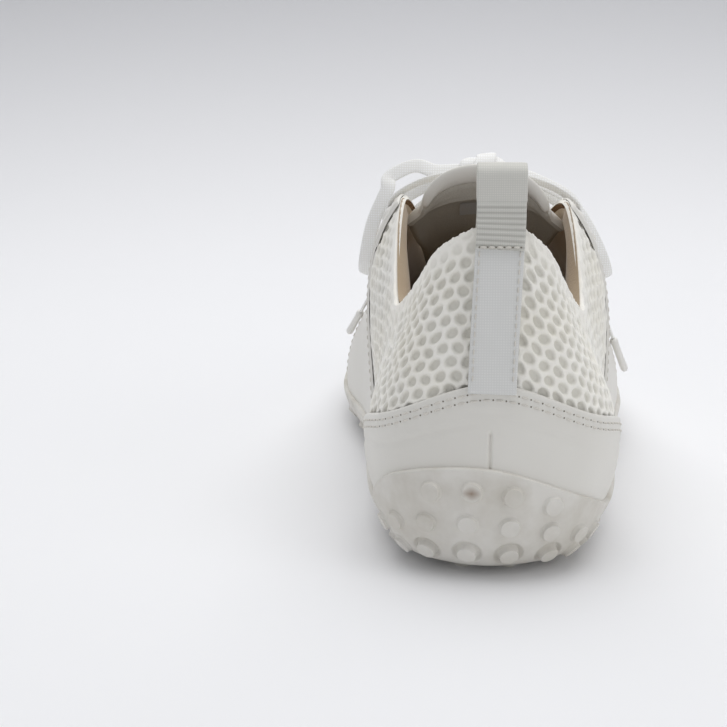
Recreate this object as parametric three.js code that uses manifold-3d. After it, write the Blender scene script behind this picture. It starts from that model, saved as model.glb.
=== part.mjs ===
// A low running shoe for the right foot: studded rubber cup sole, net upper with smooth panels, tied laces.
// Millimetres. +Z is up, +Y points to the toe and +X to the outer (lateral) side of the foot.
// The origin is the centre of the underside of the middle heel lug.

import * as THREE from 'three';
import { mergeVertices } from 'three/addons/utils/BufferGeometryUtils.js';
import Module from 'manifold-3d';

const wasm = await Module();
wasm.setup();

// ---- driving dimensions: the whole shoe ----
const shoeLength = 276; // heel to toe of the upper, without the rubber
const heelWidth = 71;
const ballWidth = 104; // across the widest part of the forefoot
const collarHeight = 99; // rear collar edge above the ground
const toeSpring = 8; // how far the toe tip is lifted
const springStart = 190; // from here forward the sole curves up
const originFromHeel = 28;

// ---- driving dimensions: layers of the upper ----
const gap = 0.3; // between two pieces that touch
const skin = 1.6; // net
const lining = 1.2;
const panelThickness = 0.9; // outer panels sewn on the net
const stiffener = 1.1; // heel counter board and toe puff between net and lining
const counterHeight = 56.5;
const netTuck = 6; // the net runs this far down inside the rim of the sole

// ---- driving dimensions: sole ----
const rubber = 2.5;
const lugHeight = 2.6;
const lugRadius = 2.7;
const lugPitch = 12.5;
const wrapLugHeight = 1.2; // lugs that climb the wall of the cup
const boardThickness = 1.2;
const insoleThickness = 3;
const insoleSlack = 0.5; // between the insole and the net round it

// ---- driving dimensions: tongue, laces and tab ----
const tongueThickness = 3.5;
const tongueTopLength = 12;
const tongueUnderlap = 8; // how far the tongue goes under the eyestays
const bindingLength = 5;
const labelWidth = 12;
const eyestayWidth = 17;
const eyeletRadius = 3.6;
const eyeletHole = 2;
const eyeletThickness = 0.9;
const eyeletInset = 8.5; // from the throat edge
const eyeletRows = 6;
const laceWidth = 5;
const laceThickness = 1.2;
const knotSize = new THREE.Vector3(8, 6, 4); // half axes
const agletLength = 14;
const agletRadius = 1.5;
const tabWidth = 13;
const tabThickness = 1.2;
const tabRise = 16;
const tabClearance = 1.8; // between the collar edge and the legs of the loop

const halfTurn = 9; // stations from the heel back to the toe tip; the whole way round is twice that
const turn = 2 * halfTurn;
const floor = lugHeight + rubber + gap; // height of the lowest skin of the last

// One row for each station round the shoe, from the back of the heel along the lateral side:
// widest outline (side, along, height), its inset at the ground, rise of the wall,
// top edge (side, along, height), lean of the wall at the top in degrees, rim height of the rubber.
// Sides are shares of the local half width, alongs of the length, top heights of the collar height.
const stations = [
  { side: 0, along: 0, high: 37, inset: 9.5, rise: 20, top: [0.06, 0.025, 1], lean: 8, rim: 33.2 },
  { side: 0.72, along: 0.033, high: 37, inset: 12, rise: 18, top: [0.41, 0.04, 0.93], lean: 9, rim: 23.5 },
  { side: 1.05, along: 0.12, high: 35, inset: 14, rise: 14, top: [0.66, 0.107, 0.766], lean: 12, rim: 15.5 },
  { side: 1.1, along: 0.23, high: 27, inset: 10, rise: 14, top: [0.83, 0.207, 0.7], lean: 14, rim: 18 },
  { side: 1.09, along: 0.345, high: 20, inset: 8, rise: 24, top: [0.75, 0.335, 0.97], lean: 42, rim: 15.5 },
  { side: 1.07, along: 0.465, high: 19, inset: 8, rise: 24, top: [0.56, 0.443, 0.88], lean: 50, rim: 14.5 },
  { side: 1.02, along: 0.6, high: 18, inset: 8, rise: 22, top: [0.44, 0.543, 0.765], lean: 57, rim: 14.5 },
  { side: 1.01, along: 0.745, high: 17, inset: 8, rise: 20, top: [0.34, 0.622, 0.67], lean: 64, rim: 14.5 },
  { side: 0.76, along: 0.892, high: 17, inset: 11, rise: 19, top: [0.2, 0.671, 0.615], lean: 68, rim: 16.5 },
  { side: 0, along: 0.99, high: 18, inset: 14, rise: 19, top: [-0.04, 0.69, 0.595], lean: 70, rim: 20 },
  { side: -0.74, along: 0.942, high: 17, inset: 11, rise: 19, top: [-0.28, 0.671, 0.615], lean: 68, rim: 16.5 },
  { side: -0.96, along: 0.8, high: 17, inset: 8, rise: 20, top: [-0.42, 0.622, 0.67], lean: 64, rim: 14.5 },
  { side: -0.96, along: 0.645, high: 18, inset: 8, rise: 22, top: [-0.5, 0.543, 0.77], lean: 57, rim: 14.5 },
  { side: -0.92, along: 0.493, high: 20, inset: 9, rise: 24, top: [-0.6, 0.443, 0.885], lean: 50, rim: 15.5 },
  { side: -0.97, along: 0.35, high: 21, inset: 8, rise: 24, top: [-0.77, 0.335, 0.98], lean: 42, rim: 16.5 },
  { side: -0.99, along: 0.23, high: 27, inset: 10, rise: 14, top: [-0.8, 0.207, 0.71], lean: 14, rim: 18 },
  { side: -0.97, along: 0.118, high: 35, inset: 14, rise: 14, top: [-0.64, 0.107, 0.775], lean: 12, rim: 16 },
  { side: -0.7, along: 0.032, high: 37, inset: 12, rise: 18, top: [-0.39, 0.04, 0.93], lean: 9, rim: 29.5 },
];

// ---- the surface of the last, which every panel of the upper follows ----

// A smooth value round the shoe at station k, through the value that pick gives at each whole station.
function roundShoe(k, pick) {
  const whole = Math.floor(k);
  const f = k - whole;
  const at = (i) => pick(stations[(((whole + i) % turn) + turn) % turn]);
  const [a, b, c, d] = [at(-1), at(0), at(1), at(2)];
  return b + 0.5 * f * (c - a + f * (2 * a - 5 * b + 4 * c - d + f * (3 * (b - c) + d - a)));
}

// Half the width of the last at a share of its length: heel width behind the arch, ball width in front.
function halfWidth(along) {
  return THREE.MathUtils.lerp(heelWidth, ballWidth, THREE.MathUtils.smoothstep(along, 0.3, 0.65)) / 2;
}

// The widest outline at station k.
function outline(k) {
  const along = roundShoe(k, (s) => s.along);
  const side = roundShoe(k, (s) => s.side * halfWidth(s.along));
  return new THREE.Vector3(side, along * shoeLength - originFromHeel, roundShoe(k, (s) => s.high));
}

// The horizontal direction out of the shoe at station k.
function outward(k) {
  const step = 0.05;
  const along = outline(k + step).sub(outline(k - step));
  return new THREE.Vector3(along.y, -along.x, 0).normalize();
}

// The ring round the flat of the sole, where the bowl starts to climb.
function groundRing(k) {
  const inset = roundShoe(k, (s) => s.inset);
  return outline(k).addScaledVector(outward(k), -inset).setZ(floor);
}

// The top edge of the upper at station k: the collar behind station 4, the throat in front of it.
function topEdge(k) {
  return new THREE.Vector3(
    (roundShoe(k, (s) => s.top[0]) * heelWidth) / 2,
    roundShoe(k, (s) => s.top[1]) * shoeLength - originFromHeel,
    roundShoe(k, (s) => s.top[2]) * collarHeight,
  );
}

const up = new THREE.Vector3(0, 0, 1);
const quarterRound = 0.5523; // handle length of a cubic that follows a quarter of an ellipse
const topHandle = 0.38;

// The point at station k and height share t: 0 to 1 climbs the bowl, 1 to 2 the wall.
function last(k, t) {
  const wide = outline(k);
  if (t <= 1) {
    const ground = groundRing(k);
    const reach = wide.clone().sub(ground).setZ(0);
    const climb = wide.z - ground.z;
    const first = ground.clone().addScaledVector(reach, quarterRound);
    const second = wide.clone().addScaledVector(up, -climb * quarterRound);
    return new THREE.CubicBezierCurve3(ground, first, second, wide).getPoint(t);
  }
  const top = topEdge(k);
  const inward = top.clone().sub(wide).setZ(0).normalize();
  const lean = THREE.MathUtils.degToRad(roundShoe(k, (s) => s.lean));
  const arriving = up.clone().multiplyScalar(Math.cos(lean)).addScaledVector(inward, Math.sin(lean));
  const first = wide.clone().addScaledVector(up, roundShoe(k, (s) => s.rise));
  const second = top.clone().addScaledVector(arriving, -topHandle * top.distanceTo(wide));
  return new THREE.CubicBezierCurve3(wide, first, second, top).getPoint(t - 1);
}

// The outward normal of the last.
function normalAt(k, t) {
  const step = 0.02;
  const around = last(k + step, t).sub(last(k - step, t));
  const climb = last(k, Math.min(t + step, 2)).sub(last(k, Math.max(t - step, 0)));
  return around.cross(climb).normalize();
}

// Lifts a point with the curve of the sole towards the toe.
function sprung(point) {
  const length = shoeLength - springStart;
  const share = Math.max(0, point.y + originFromHeel - springStart) / length;
  point.z += toeSpring * share * share;
  return point;
}

// A point a given distance outside the last (inside it when negative).
function layer(k, t, distance) {
  return last(k, t).addScaledVector(normalAt(k, t), distance);
}

// The height share at which the last reaches a height above the ground.
function shareAtHeight(k, height) {
  let [low, high] = [0, 2];
  for (let i = 0; i < 24; i += 1) {
    const middle = (low + high) / 2;
    if (last(k, middle).z < height) low = middle;
    else high = middle;
  }
  return low;
}

// The height share a given distance below the top edge, measured over the skin.
function shareBelowTop(k, distance) {
  const steps = 24;
  let left = distance;
  let point = last(k, 2);
  for (let i = 1; i <= steps; i += 1) {
    const next = last(k, 2 - i / steps);
    const length = next.distanceTo(point);
    if (length >= left) return 2 - (i - 1 + left / length) / steps;
    left -= length;
    point = next;
  }
  return 1;
}

const rimShare = (k) => shareAtHeight(k, roundShoe(k, (s) => s.rim));

// ---- solids ----

// A closed solid from rows of rings: rings[i][j] is point j of ring i, and both ends are capped.
// Each ring runs clockwise seen along the way the rings advance. The second half of each ring splits its
// quads along the other diagonal, so that the two faces of a slab have the same facets.
function loft(rings, capStart, capEnd) {
  const points = rings.flat();
  const size = rings[0].length;
  const faces = [];
  for (let i = 0; i + 1 < rings.length; i += 1) {
    for (let j = 0; j < size; j += 1) {
      const [a, b] = [i * size + j, i * size + ((j + 1) % size)];
      if (j < size / 2) faces.push(a, a + size, b, b, a + size, b + size);
      else faces.push(a, a + size, b + size, a, b + size, b);
    }
  }
  const lastRing = (rings.length - 1) * size;
  for (const [a, b, c] of capStart) faces.push(a, b, c);
  for (const [a, b, c] of capEnd) faces.push(lastRing + a, lastRing + c, lastRing + b);
  return solid(points, faces);
}

function solid(points, faces) {
  const geometry = new THREE.BufferGeometry();
  geometry.setAttribute('position', new THREE.Float32BufferAttribute(points.flatMap((p) => p.toArray()), 3));
  geometry.setIndex(faces);
  geometry.computeVertexNormals();
  return geometry;
}

// The triangles that cap a closed ring laid out symmetrically about its first point.
function symmetricCap(size) {
  const faces = [];
  for (let j = 0; j < size / 2; j += 1) {
    const [left, leftNext, right, rightNext] = [j, j + 1, (size - j) % size, size - j - 1];
    if (left !== right) faces.push([left, leftNext, right]);
    if (leftNext !== rightNext) faces.push([leftNext, rightNext, right]);
  }
  return faces;
}

// A slab between two skins of the same grid: place(i, j, share) gives a point, share 0 inside and 1 outside.
function slab(columns, rows, place) {
  const rings = [];
  for (let i = 0; i <= columns; i += 1) {
    const ring = [];
    for (let j = 0; j <= rows; j += 1) ring.push(place(i / columns, j / rows, 1));
    for (let j = rows; j >= 0; j -= 1) ring.push(place(i / columns, j / rows, 0));
    rings.push(ring);
  }
  const size = 2 * (rows + 1);
  const cap = [];
  for (let j = 0; j < rows; j += 1) {
    const [low, high, farLow, farHigh] = [j, j + 1, size - 1 - j, size - 2 - j];
    cap.push([low, high, farLow], [high, farHigh, farLow]);
  }
  return loft(rings, cap, cap);
}

// A panel of the upper from station to station, between two height shares and two distances from the last.
function panel({ from, to, low, high, inner, outer, rows }) {
  const depth = (value, k) => (typeof value === 'function' ? value(k) : value);
  return slab(gridColumns(from, to), rows, (along, across, share) => {
    const k = from + (to - from) * along;
    const t = THREE.MathUtils.lerp(low(k), high(k), across);
    return sprung(layer(k, t, THREE.MathUtils.lerp(depth(inner, k), depth(outer, k), share)));
  });
}

// A ribbon of rectangular or eight-sided section along points, lying flat across its side directions.
function ribbon(points, sides, width, thickness, rounded) {
  const corner = rounded
    ? [[-1, 0.4], [-0.75, 1], [0.75, 1], [1, 0.4], [1, -0.4], [0.75, -1], [-0.75, -1], [-1, -0.4]]
    : [[-1, 1], [1, 1], [1, -1], [-1, -1]];
  const rings = points.map((point, i) => {
    const before = points[Math.max(i - 1, 0)];
    const after = points[Math.min(i + 1, points.length - 1)];
    const ahead = after.clone().sub(before).normalize();
    const side = sides[i].clone().addScaledVector(ahead, -sides[i].dot(ahead)).normalize();
    const face = ahead.clone().cross(side);
    return corner.map(([a, b]) =>
      point.clone().addScaledVector(side, (a * width) / 2).addScaledVector(face, (b * thickness) / 2),
    );
  });
  const cap = [];
  for (let j = 1; j + 1 < corner.length; j += 1) cap.push([0, j, j + 1]);
  return loft(rings, cap, cap);
}

function toManifold(geometry) {
  const bare = geometry.clone();
  bare.deleteAttribute('normal');
  bare.deleteAttribute('uv');
  const merged = mergeVertices(bare, 1e-4);
  return new wasm.Manifold(
    new wasm.Mesh({
      numProp: 3,
      vertProperties: merged.attributes.position.array,
      triVerts: new Uint32Array(merged.index.array),
    }),
  );
}

function toGeometry(manifold) {
  const mesh = manifold.getMesh();
  const geometry = new THREE.BufferGeometry();
  geometry.setAttribute('position', new THREE.BufferAttribute(mesh.vertProperties, 3));
  geometry.setIndex(new THREE.BufferAttribute(mesh.triVerts, 1));
  geometry.computeVertexNormals();
  return geometry;
}

// ---- materials ----

const looks = {
  net: { color: 0xe1ded4, roughness: 0.85, metalness: 0 },
  panel: { color: 0xd8d6cf, roughness: 0.55, metalness: 0 },
  rubber: { color: 0xcbc8c2, roughness: 0.6, metalness: 0 },
  lining: { color: 0xc8b9a5, roughness: 0.95, metalness: 0 },
  foam: { color: 0x8f7452, roughness: 1, metalness: 0 },
  board: { color: 0xb9ad9a, roughness: 0.9, metalness: 0 },
  tape: { color: 0xbbbcb9, roughness: 0.8, metalness: 0 },
  webbing: { color: 0xb2b0a7, roughness: 0.8, metalness: 0 },
  lace: { color: 0xeceae4, roughness: 0.85, metalness: 0 },
  tip: { color: 0xe4e3df, roughness: 0.3, metalness: 0 },
};

const shoe = new THREE.Group();

function add(name, look, geometry) {
  const mesh = new THREE.Mesh(geometry, new THREE.MeshStandardMaterial(looks[look]));
  mesh.name = name;
  shoe.add(mesh);
  return mesh;
}

// ---- sole ----

const cupColumns = 60;
const rimSlack = 0.1; // more room between rubber and net at the rim, where their facets cross

function cup() {
  const rows = 5;
  const rings = [];
  for (let i = 0; i <= 2 * rows + 1; i += 1) {
    const outer = i <= rows;
    const share = (outer ? i : 2 * rows + 1 - i) / rows;
    const ring = [];
    for (let j = 0; j < cupColumns; j += 1) {
      const k = (j * turn) / cupColumns;
      ring.push(sprung(layer(k, share * rimShare(k), outer ? gap + rubber : gap + rimSlack * share)));
    }
    rings.push(ring.reverse());
  }
  const cap = symmetricCap(cupColumns).map((face) => face.map((j) => (cupColumns - 1 - j + cupColumns) % cupColumns));
  return loft(rings, flip(cap), flip(cap));
}

function flip(faces) {
  return faces.map(([a, b, c]) => [a, c, b]);
}

// A plate between two heights with an edge that follows the shoe, for the board and the insole.
function plate(edge, bottom, top) {
  const rings = [bottom, top].map((z) => {
    const ring = [];
    for (let j = 0; j < cupColumns; j += 1) {
      ring.push(sprung(edge((j * turn) / cupColumns).setZ(z)));
    }
    return ring.reverse();
  });
  const cap = symmetricCap(cupColumns).map((face) => face.map((j) => (cupColumns - 1 - j + cupColumns) % cupColumns));
  return loft(rings, flip(cap), flip(cap));
}

// A round lug standing on a point, pointing along a direction.
function lug(point, direction, below, above, radius) {
  const geometry = new THREE.CylinderGeometry(radius, radius * 1.08, below + above, 8);
  geometry.rotateX(Math.PI / 2);
  geometry.translate(0, 0, (above - below) / 2);
  geometry.applyQuaternion(new THREE.Quaternion().setFromUnitVectors(up, direction));
  geometry.translate(point.x, point.y, point.z);
  return toManifold(geometry);
}

// Distance of a plan point inside the ground ring; negative outside.
function insideGround(point) {
  let [nearest, inside] = [Infinity, 0];
  for (let k = 0; k < turn; k += 0.1) {
    const way = groundRing(k).setZ(0).sub(point);
    if (way.length() > nearest) continue;
    nearest = way.length();
    inside = Math.sign(way.dot(outward(k))) * nearest;
  }
  return inside;
}

function groundLugs() {
  const lugs = [];
  const rowStep = lugPitch * Math.sin(Math.PI / 3);
  const reach = Math.ceil(shoeLength / rowStep);
  for (let row = -reach; row <= reach; row += 1) {
    for (let column = -4; column <= 4; column += 1) {
      const shift = Math.abs(row % 2) / 2;
      const point = new THREE.Vector3((column + shift) * lugPitch, row * rowStep, 0);
      if (insideGround(point) < lugRadius * 0.6) continue;
      sprung(point.setZ(lugHeight));
      lugs.push(lug(point, new THREE.Vector3(0, 0, -1), rubber / 2, lugHeight, lugRadius));
    }
  }
  return lugs;
}

// Rows of lugs on the wall of the cup: height share of the rim, half the stations covered and the count.
const heelLugRows = [
  { share: 0.35, from: -1.6, to: 1.6, count: 8 },
  { share: 0.64, from: -1.47, to: 1.47, count: 8 },
  { share: 0.87, from: -0.56, to: 0.62, count: 4 },
];
const sideLugRow = { share: 0.42, from: 2.3, to: turn - 2.3, count: 23 };

function wallLugs() {
  const lugs = [];
  for (const { share, from, to, count } of [...heelLugRows, sideLugRow]) {
    for (let i = 0; i < count; i += 1) {
      const k = from + ((to - from) * i) / (count - 1);
      const t = share * rimShare(k);
      const point = sprung(layer(k, t, gap + rubber));
      lugs.push(lug(point, normalAt(k, t), rubber / 2, wrapLugHeight, lugRadius));
    }
  }
  return lugs;
}

function outsole() {
  let body = toManifold(cup());
  for (const piece of [...groundLugs(), ...wallLugs()]) body = body.add(piece);
  return toGeometry(body);
}

const boardBottom = floor;
const insoleBottom = boardBottom + boardThickness + gap;
const insoleTop = insoleBottom + insoleThickness;

add('outsole', 'rubber', outsole());
add('strobel_board', 'board', plate(groundRing, boardBottom, boardBottom + boardThickness));
const insoleEdge = (k) => layer(k, shareAtHeight(k, insoleBottom), -(skin + gap + insoleSlack));
add('insole', 'lining', plate(insoleEdge, insoleBottom, insoleTop));

// ---- upper: net, lining and what lies between them ----

// Panels share one grid, so the facets of neighbouring layers stay parallel: their ends lie on whole
// grid steps round the shoe, and the inner layers start and stop on whole rows of the net.
const gridStep = 0.3; // in stations
const upperRows = 10;
const vampStart = 6.3; // the seam between quarter and vamp
const seam = 0.012; // half a seam gap, in stations
const topShare = () => 2;
const netLow = (k) => shareAtHeight(k, roundShoe(k, (s) => s.rim) - netTuck);
const netRow = (row) => (k) => THREE.MathUtils.lerp(netLow(k), 2, row / upperRows);
const liningSlack = 0.3; // more room for the lining where nothing lies between it and the net
const gridColumns = (from, to) => Math.round((to - from) / gridStep);

// Depth of the outer face of the lining: it leaves room for the stiffener at heel and toe.
function liningFace(k) {
  const round = ((k % turn) + turn) % turn;
  const fromHeel = Math.min(round, turn - round);
  const heel = 1 - THREE.MathUtils.smoothstep(fromHeel, 3, 3.9);
  const toe = THREE.MathUtils.smoothstep(fromHeel, 6.6, 7.5);
  return -(skin + gap) - liningSlack - (stiffener + gap - liningSlack) * Math.max(heel, toe);
}
const liningBack = (k) => liningFace(k) - lining;

const sections = [
  { name: 'quarter_lateral', from: seam, to: vampStart - seam },
  { name: 'vamp', from: vampStart + seam, to: turn - vampStart - seam },
  { name: 'quarter_medial', from: turn - vampStart + seam, to: turn - seam },
];
for (const { name, from, to } of sections) {
  add(`net_${name}`, 'net', panel({
    from, to, rows: upperRows, low: netLow, high: topShare, inner: -skin, outer: 0,
  }));
}
for (const { name, from, to } of sections) {
  add(`lining_${name}`, 'lining', panel({
    from, to, rows: upperRows - 1, low: netRow(1), high: topShare, inner: liningBack, outer: liningFace,
  }));
}

const between = { inner: -(skin + gap + stiffener), outer: -(skin + gap) };
const stiffenerRows = 4; // the heel has its stiffener up to this row of the net, and foam above it
const puffRows = 4;
add('heel_stiffener', 'board', panel({
  from: -2.7, to: 2.7, rows: stiffenerRows - 1, low: netRow(1), high: netRow(stiffenerRows), ...between,
}));
const foamRows = { rows: upperRows - stiffenerRows, low: netRow(stiffenerRows + 0.1), high: netRow(upperRows - 0.1) };
add('collar_foam_lateral', 'foam', panel({ from: seam, to: 3, ...foamRows, ...between }));
add('collar_foam_medial', 'foam', panel({ from: turn - 3, to: turn - seam, ...foamRows, ...between }));
add('toe_puff', 'board', panel({
  from: 7.8, to: turn - 7.8, rows: puffRows - 1, low: netRow(1), high: netRow(puffRows), ...between,
}));

// ---- upper: outer panels ----

const outside = { inner: gap, outer: gap + panelThickness };
const aboveRim = (k) => shareAtHeight(k, roundShoe(k, (s) => s.rim) + gap + 0.1);
const counterReach = 3.3; // stations that the heel counter covers on each side
const counterShoulder = 45; // height that its top edge keeps beside the peak
const counterPeakReach = 0.9; // how far the peak spreads, in stations
const counterEnd = 23; // height of its top edge at both ends

// The top edge of the counter has a rounded peak at the back, then shoulders that drop to both ends.
function counterTop(k) {
  const drop = Math.min(1, Math.abs(k) / counterReach) ** 3;
  const peak = (counterHeight - counterShoulder) * Math.exp(-((k / counterPeakReach) ** 2));
  return shareAtHeight(k, THREE.MathUtils.lerp(counterShoulder, counterEnd, drop) + peak);
}
add('heel_counter', 'panel', panel({
  from: -counterReach, to: counterReach, rows: 5, low: aboveRim, high: counterTop, ...outside,
}));

const randHeight = 9;
const randTop = (k) => shareAtHeight(k, roundShoe(k, (s) => s.rim) + randHeight);
add('toe_rand', 'panel', panel({
  from: 6.6, to: turn - 6.6, rows: 2, low: aboveRim, high: randTop, ...outside,
}));

const eyestay = { from: 3.9, to: 8.4, rows: 3, low: (k) => shareBelowTop(k, eyestayWidth), high: topShare };
const overlay = { from: 4.2, to: 6.3, rows: 10, low: aboveRim, high: (k) => shareBelowTop(k, eyestayWidth + 0.5) };
for (const [name, shape] of [['eyestay', eyestay], ['side_overlay', overlay]]) {
  add(`${name}_lateral`, 'panel', panel({ ...shape, ...outside }));
  add(`${name}_medial`, 'panel', panel({ ...shape, from: turn - shape.to, to: turn - shape.from, ...outside }));
}

// ---- throat: the arch that tongue and laces follow ----

const archHandle = 0.36;

// A point over the throat at station k: across runs from -1 (lateral) to 1 (medial), distance from the last.
function arch(k, across, distance, underlap = tongueUnderlap) {
  const ends = [k, turn - k].map((side) => {
    const t = shareBelowTop(side, underlap);
    const base = layer(side, t, distance);
    const ahead = layer(side, t + 0.02, distance).sub(base).normalize();
    return { base, ahead };
  });
  const span = ends[0].base.distanceTo(ends[1].base) * archHandle;
  const inner = ends.map(({ base, ahead }) => base.clone().addScaledVector(ahead, span));
  const curve = new THREE.CubicBezierCurve3(ends[0].base, inner[0], inner[1], ends[1].base);
  return curve.getPoint((across + 1) / 2);
}

const tongueFace = -(skin + lining + 3 * gap + stiffener + 0.2); // the tongue lies under the lining
const tongueBack = tongueFace - tongueThickness;
const tongueFront = 8.3;
const tongueFold = 4.1; // above this station the tongue stands free

function tongueStrip(from, to, inner, outer, columns, reach = 1) {
  return slab(columns, 8, (along, across, share) => {
    const k = from + (to - from) * along;
    return sprung(arch(k, reach * (2 * across - 1), THREE.MathUtils.lerp(inner, outer, share)));
  });
}
add('tongue_body', 'panel', tongueStrip(tongueFold, tongueFront, tongueBack, tongueFace, 10));
add('tongue_lining', 'lining', tongueStrip(tongueFold, tongueFront, tongueBack - gap - 0.8, tongueBack - gap, 10, 0.9));
add('tongue_label', 'tape', slab(2, 3, (along, across, share) => {
  const width = labelWidth / 2 / 23;
  const inner = tongueBack - 2 * gap - 1.2;
  return sprung(arch(tongueFold + 0.15 + 0.35 * along, width * (2 * across - 1), inner - 0.5 * (1 - share)));
}));

// The free end of the tongue above the fold: it rises off the arch and narrows a little.
const tongueRise = new THREE.Vector3(0, -0.6, 0.8);
const foldGap = 1; // between the fixed and the free part of the tongue
function freeTongue(length, across, distance) {
  const base = arch(tongueFold, across, distance);
  const corner = 1 - 0.35 * across ** 4;
  const sideLift = 2.5 * across ** 2; // the low sides of the arch start a little higher
  const point = base.addScaledVector(tongueRise, sideLift + length * corner);
  point.x *= 0.86 - 0.008 * length;
  return point;
}
function freeStrip(from, to, inner, outer) {
  return slab(2, 8, (along, across, share) =>
    freeTongue(to + (from - to) * along, 2 * across - 1, THREE.MathUtils.lerp(inner, outer, share)));
}
add('tongue_top', 'panel', freeStrip(foldGap, tongueTopLength - bindingLength, tongueBack, tongueFace));
add('tongue_binding', 'panel', freeStrip(
  tongueTopLength - bindingLength + gap, tongueTopLength, tongueBack, tongueFace,
));

// ---- eyelets and laces ----

const eyeletStation = (row) => 4.35 + (row * (8.05 - 4.35)) / (eyeletRows - 1);
const eyeletBase = 2 * gap + panelThickness + 0.1;

function eyeletRing() {
  const points = [
    new THREE.Vector2(eyeletHole, 0),
    new THREE.Vector2(eyeletRadius, 0),
    new THREE.Vector2(eyeletRadius, eyeletThickness),
    new THREE.Vector2(eyeletHole, eyeletThickness),
    new THREE.Vector2(eyeletHole, 0),
  ];
  return new THREE.LatheGeometry(points, 10).rotateX(Math.PI / 2);
}

for (let row = 0; row < eyeletRows; row += 1) {
  for (const [side, k] of [['lateral', eyeletStation(row)], ['medial', turn - eyeletStation(row)]]) {
    const t = shareBelowTop(k, eyeletInset);
    const ring = add(`eyelet_${side}_${row + 1}`, 'tip', eyeletRing());
    ring.position.copy(sprung(layer(k, t, eyeletBase)));
    ring.quaternion.setFromUnitVectors(up, normalAt(k, t));
  }
}

const barBase = eyeletBase + eyeletThickness + laceThickness / 2 + 1;
const barSag = 1.6; // the middle of a lace bar lies this much deeper than its ends

for (let row = 0; row < eyeletRows; row += 1) {
  const k = eyeletStation(row);
  const points = [];
  const sides = [];
  for (let i = 0; i <= 8; i += 1) {
    const across = -1 + i / 4;
    const distance = barBase - barSag * (1 - across * across) ** 2;
    points.push(sprung(arch(k, across, distance, eyeletInset)));
    sides.push(sprung(arch(k + 0.1, across, distance, eyeletInset)).sub(points[i]));
  }
  add(`lace_bar_${row + 1}`, 'lace', ribbon(points, sides, laceWidth, laceThickness, false));
}

// ---- bow: knot, two loops and two ends with their tips ----

const bowStation = 4.55;
const sideDown = (k, down, lift) => {
  const t = shareBelowTop(k, down);
  return { point: sprung(layer(k, t, lift)), normal: normalAt(k, t) };
};
const overThroat = (k, across, lift) => {
  const point = sprung(arch(k, across, lift, eyeletInset));
  const normal = sprung(arch(k, across, lift + 1, eyeletInset)).sub(point).normalize();
  return { point, normal };
};
const knotLift = barBase - barSag + laceThickness / 2 + gap + knotSize.z + 0.2;
const knot = overThroat(bowStation, 0, knotLift);
const knotShape = new THREE.SphereGeometry(1, 12, 8);
knotShape.scale(knotSize.x, knotSize.y, knotSize.z);
add('lace_knot', 'lace', knotShape).position.copy(knot.point);

// A lace along hand-laid stops, each a point with the direction that its width or its flat face has there.
function laceAlong(stops, onEdge, steps) {
  const route = new THREE.CatmullRomCurve3(stops.map((stop) => stop.point));
  const facing = new THREE.CatmullRomCurve3(stops.map((stop) => stop.normal));
  const points = [];
  const sides = [];
  for (let i = 0; i <= steps; i += 1) {
    const t = route.getUtoTmapping(i / steps);
    const normal = facing.getPoint(t).normalize();
    points.push(route.getPoint(t));
    sides.push(onEdge ? normal : normal.cross(route.getTangent(t)).normalize());
  }
  return { points, geometry: ribbon(points, sides, laceWidth, laceThickness, true) };
}

// The loops stand on edge: out from the knot, down over the eyestay, round and back.
// Each stop is a station, millimetres below the throat edge (or a place over the throat) and the room under the lace.
const edgeOver = (k, across, under) => overThroat(k, across, under + laceWidth / 2);
const edgeDown = (k, down, under) => sideDown(k, down, under + laceWidth / 2);
const lateralLoop = [
  edgeOver(4.54, -0.42, 3.9),
  edgeOver(4.53, -0.75, 3.9),
  edgeDown(4.53, 4, 3.1),
  edgeDown(4.53, 15, 1.9),
  edgeDown(4.56, 26, 1.7),
  edgeDown(4.68, 30, 1.7),
  edgeDown(4.84, 25, 1.7),
  edgeDown(4.82, 14, 2.1),
  edgeDown(4.76, 4, 2.7),
  edgeOver(4.68, -0.72, 3.3),
  edgeOver(4.64, -0.44, 3.1),
];
const medialLoop = [
  edgeOver(4.52, 0.4, 5),
  edgeOver(4.5, 0.55, 9.5),
  edgeOver(4.47, 0.8, 10),
  edgeDown(turn - 4.45, 3, 6.7),
  edgeDown(turn - 4.42, 14, 3.5),
  edgeDown(turn - 4.48, 26, 1.9),
  edgeDown(turn - 4.64, 30, 1.7),
  edgeDown(turn - 4.82, 25, 1.7),
  edgeDown(turn - 4.8, 13, 2.3),
  edgeDown(turn - 4.74, 4, 3.5),
  edgeOver(4.68, 0.72, 4),
  edgeOver(4.62, 0.44, 3.5),
];
add('bow_loop_lateral', 'lace', laceAlong(lateralLoop, true, 28).geometry);
add('bow_loop_medial', 'lace', laceAlong(medialLoop, true, 28).geometry);

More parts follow.
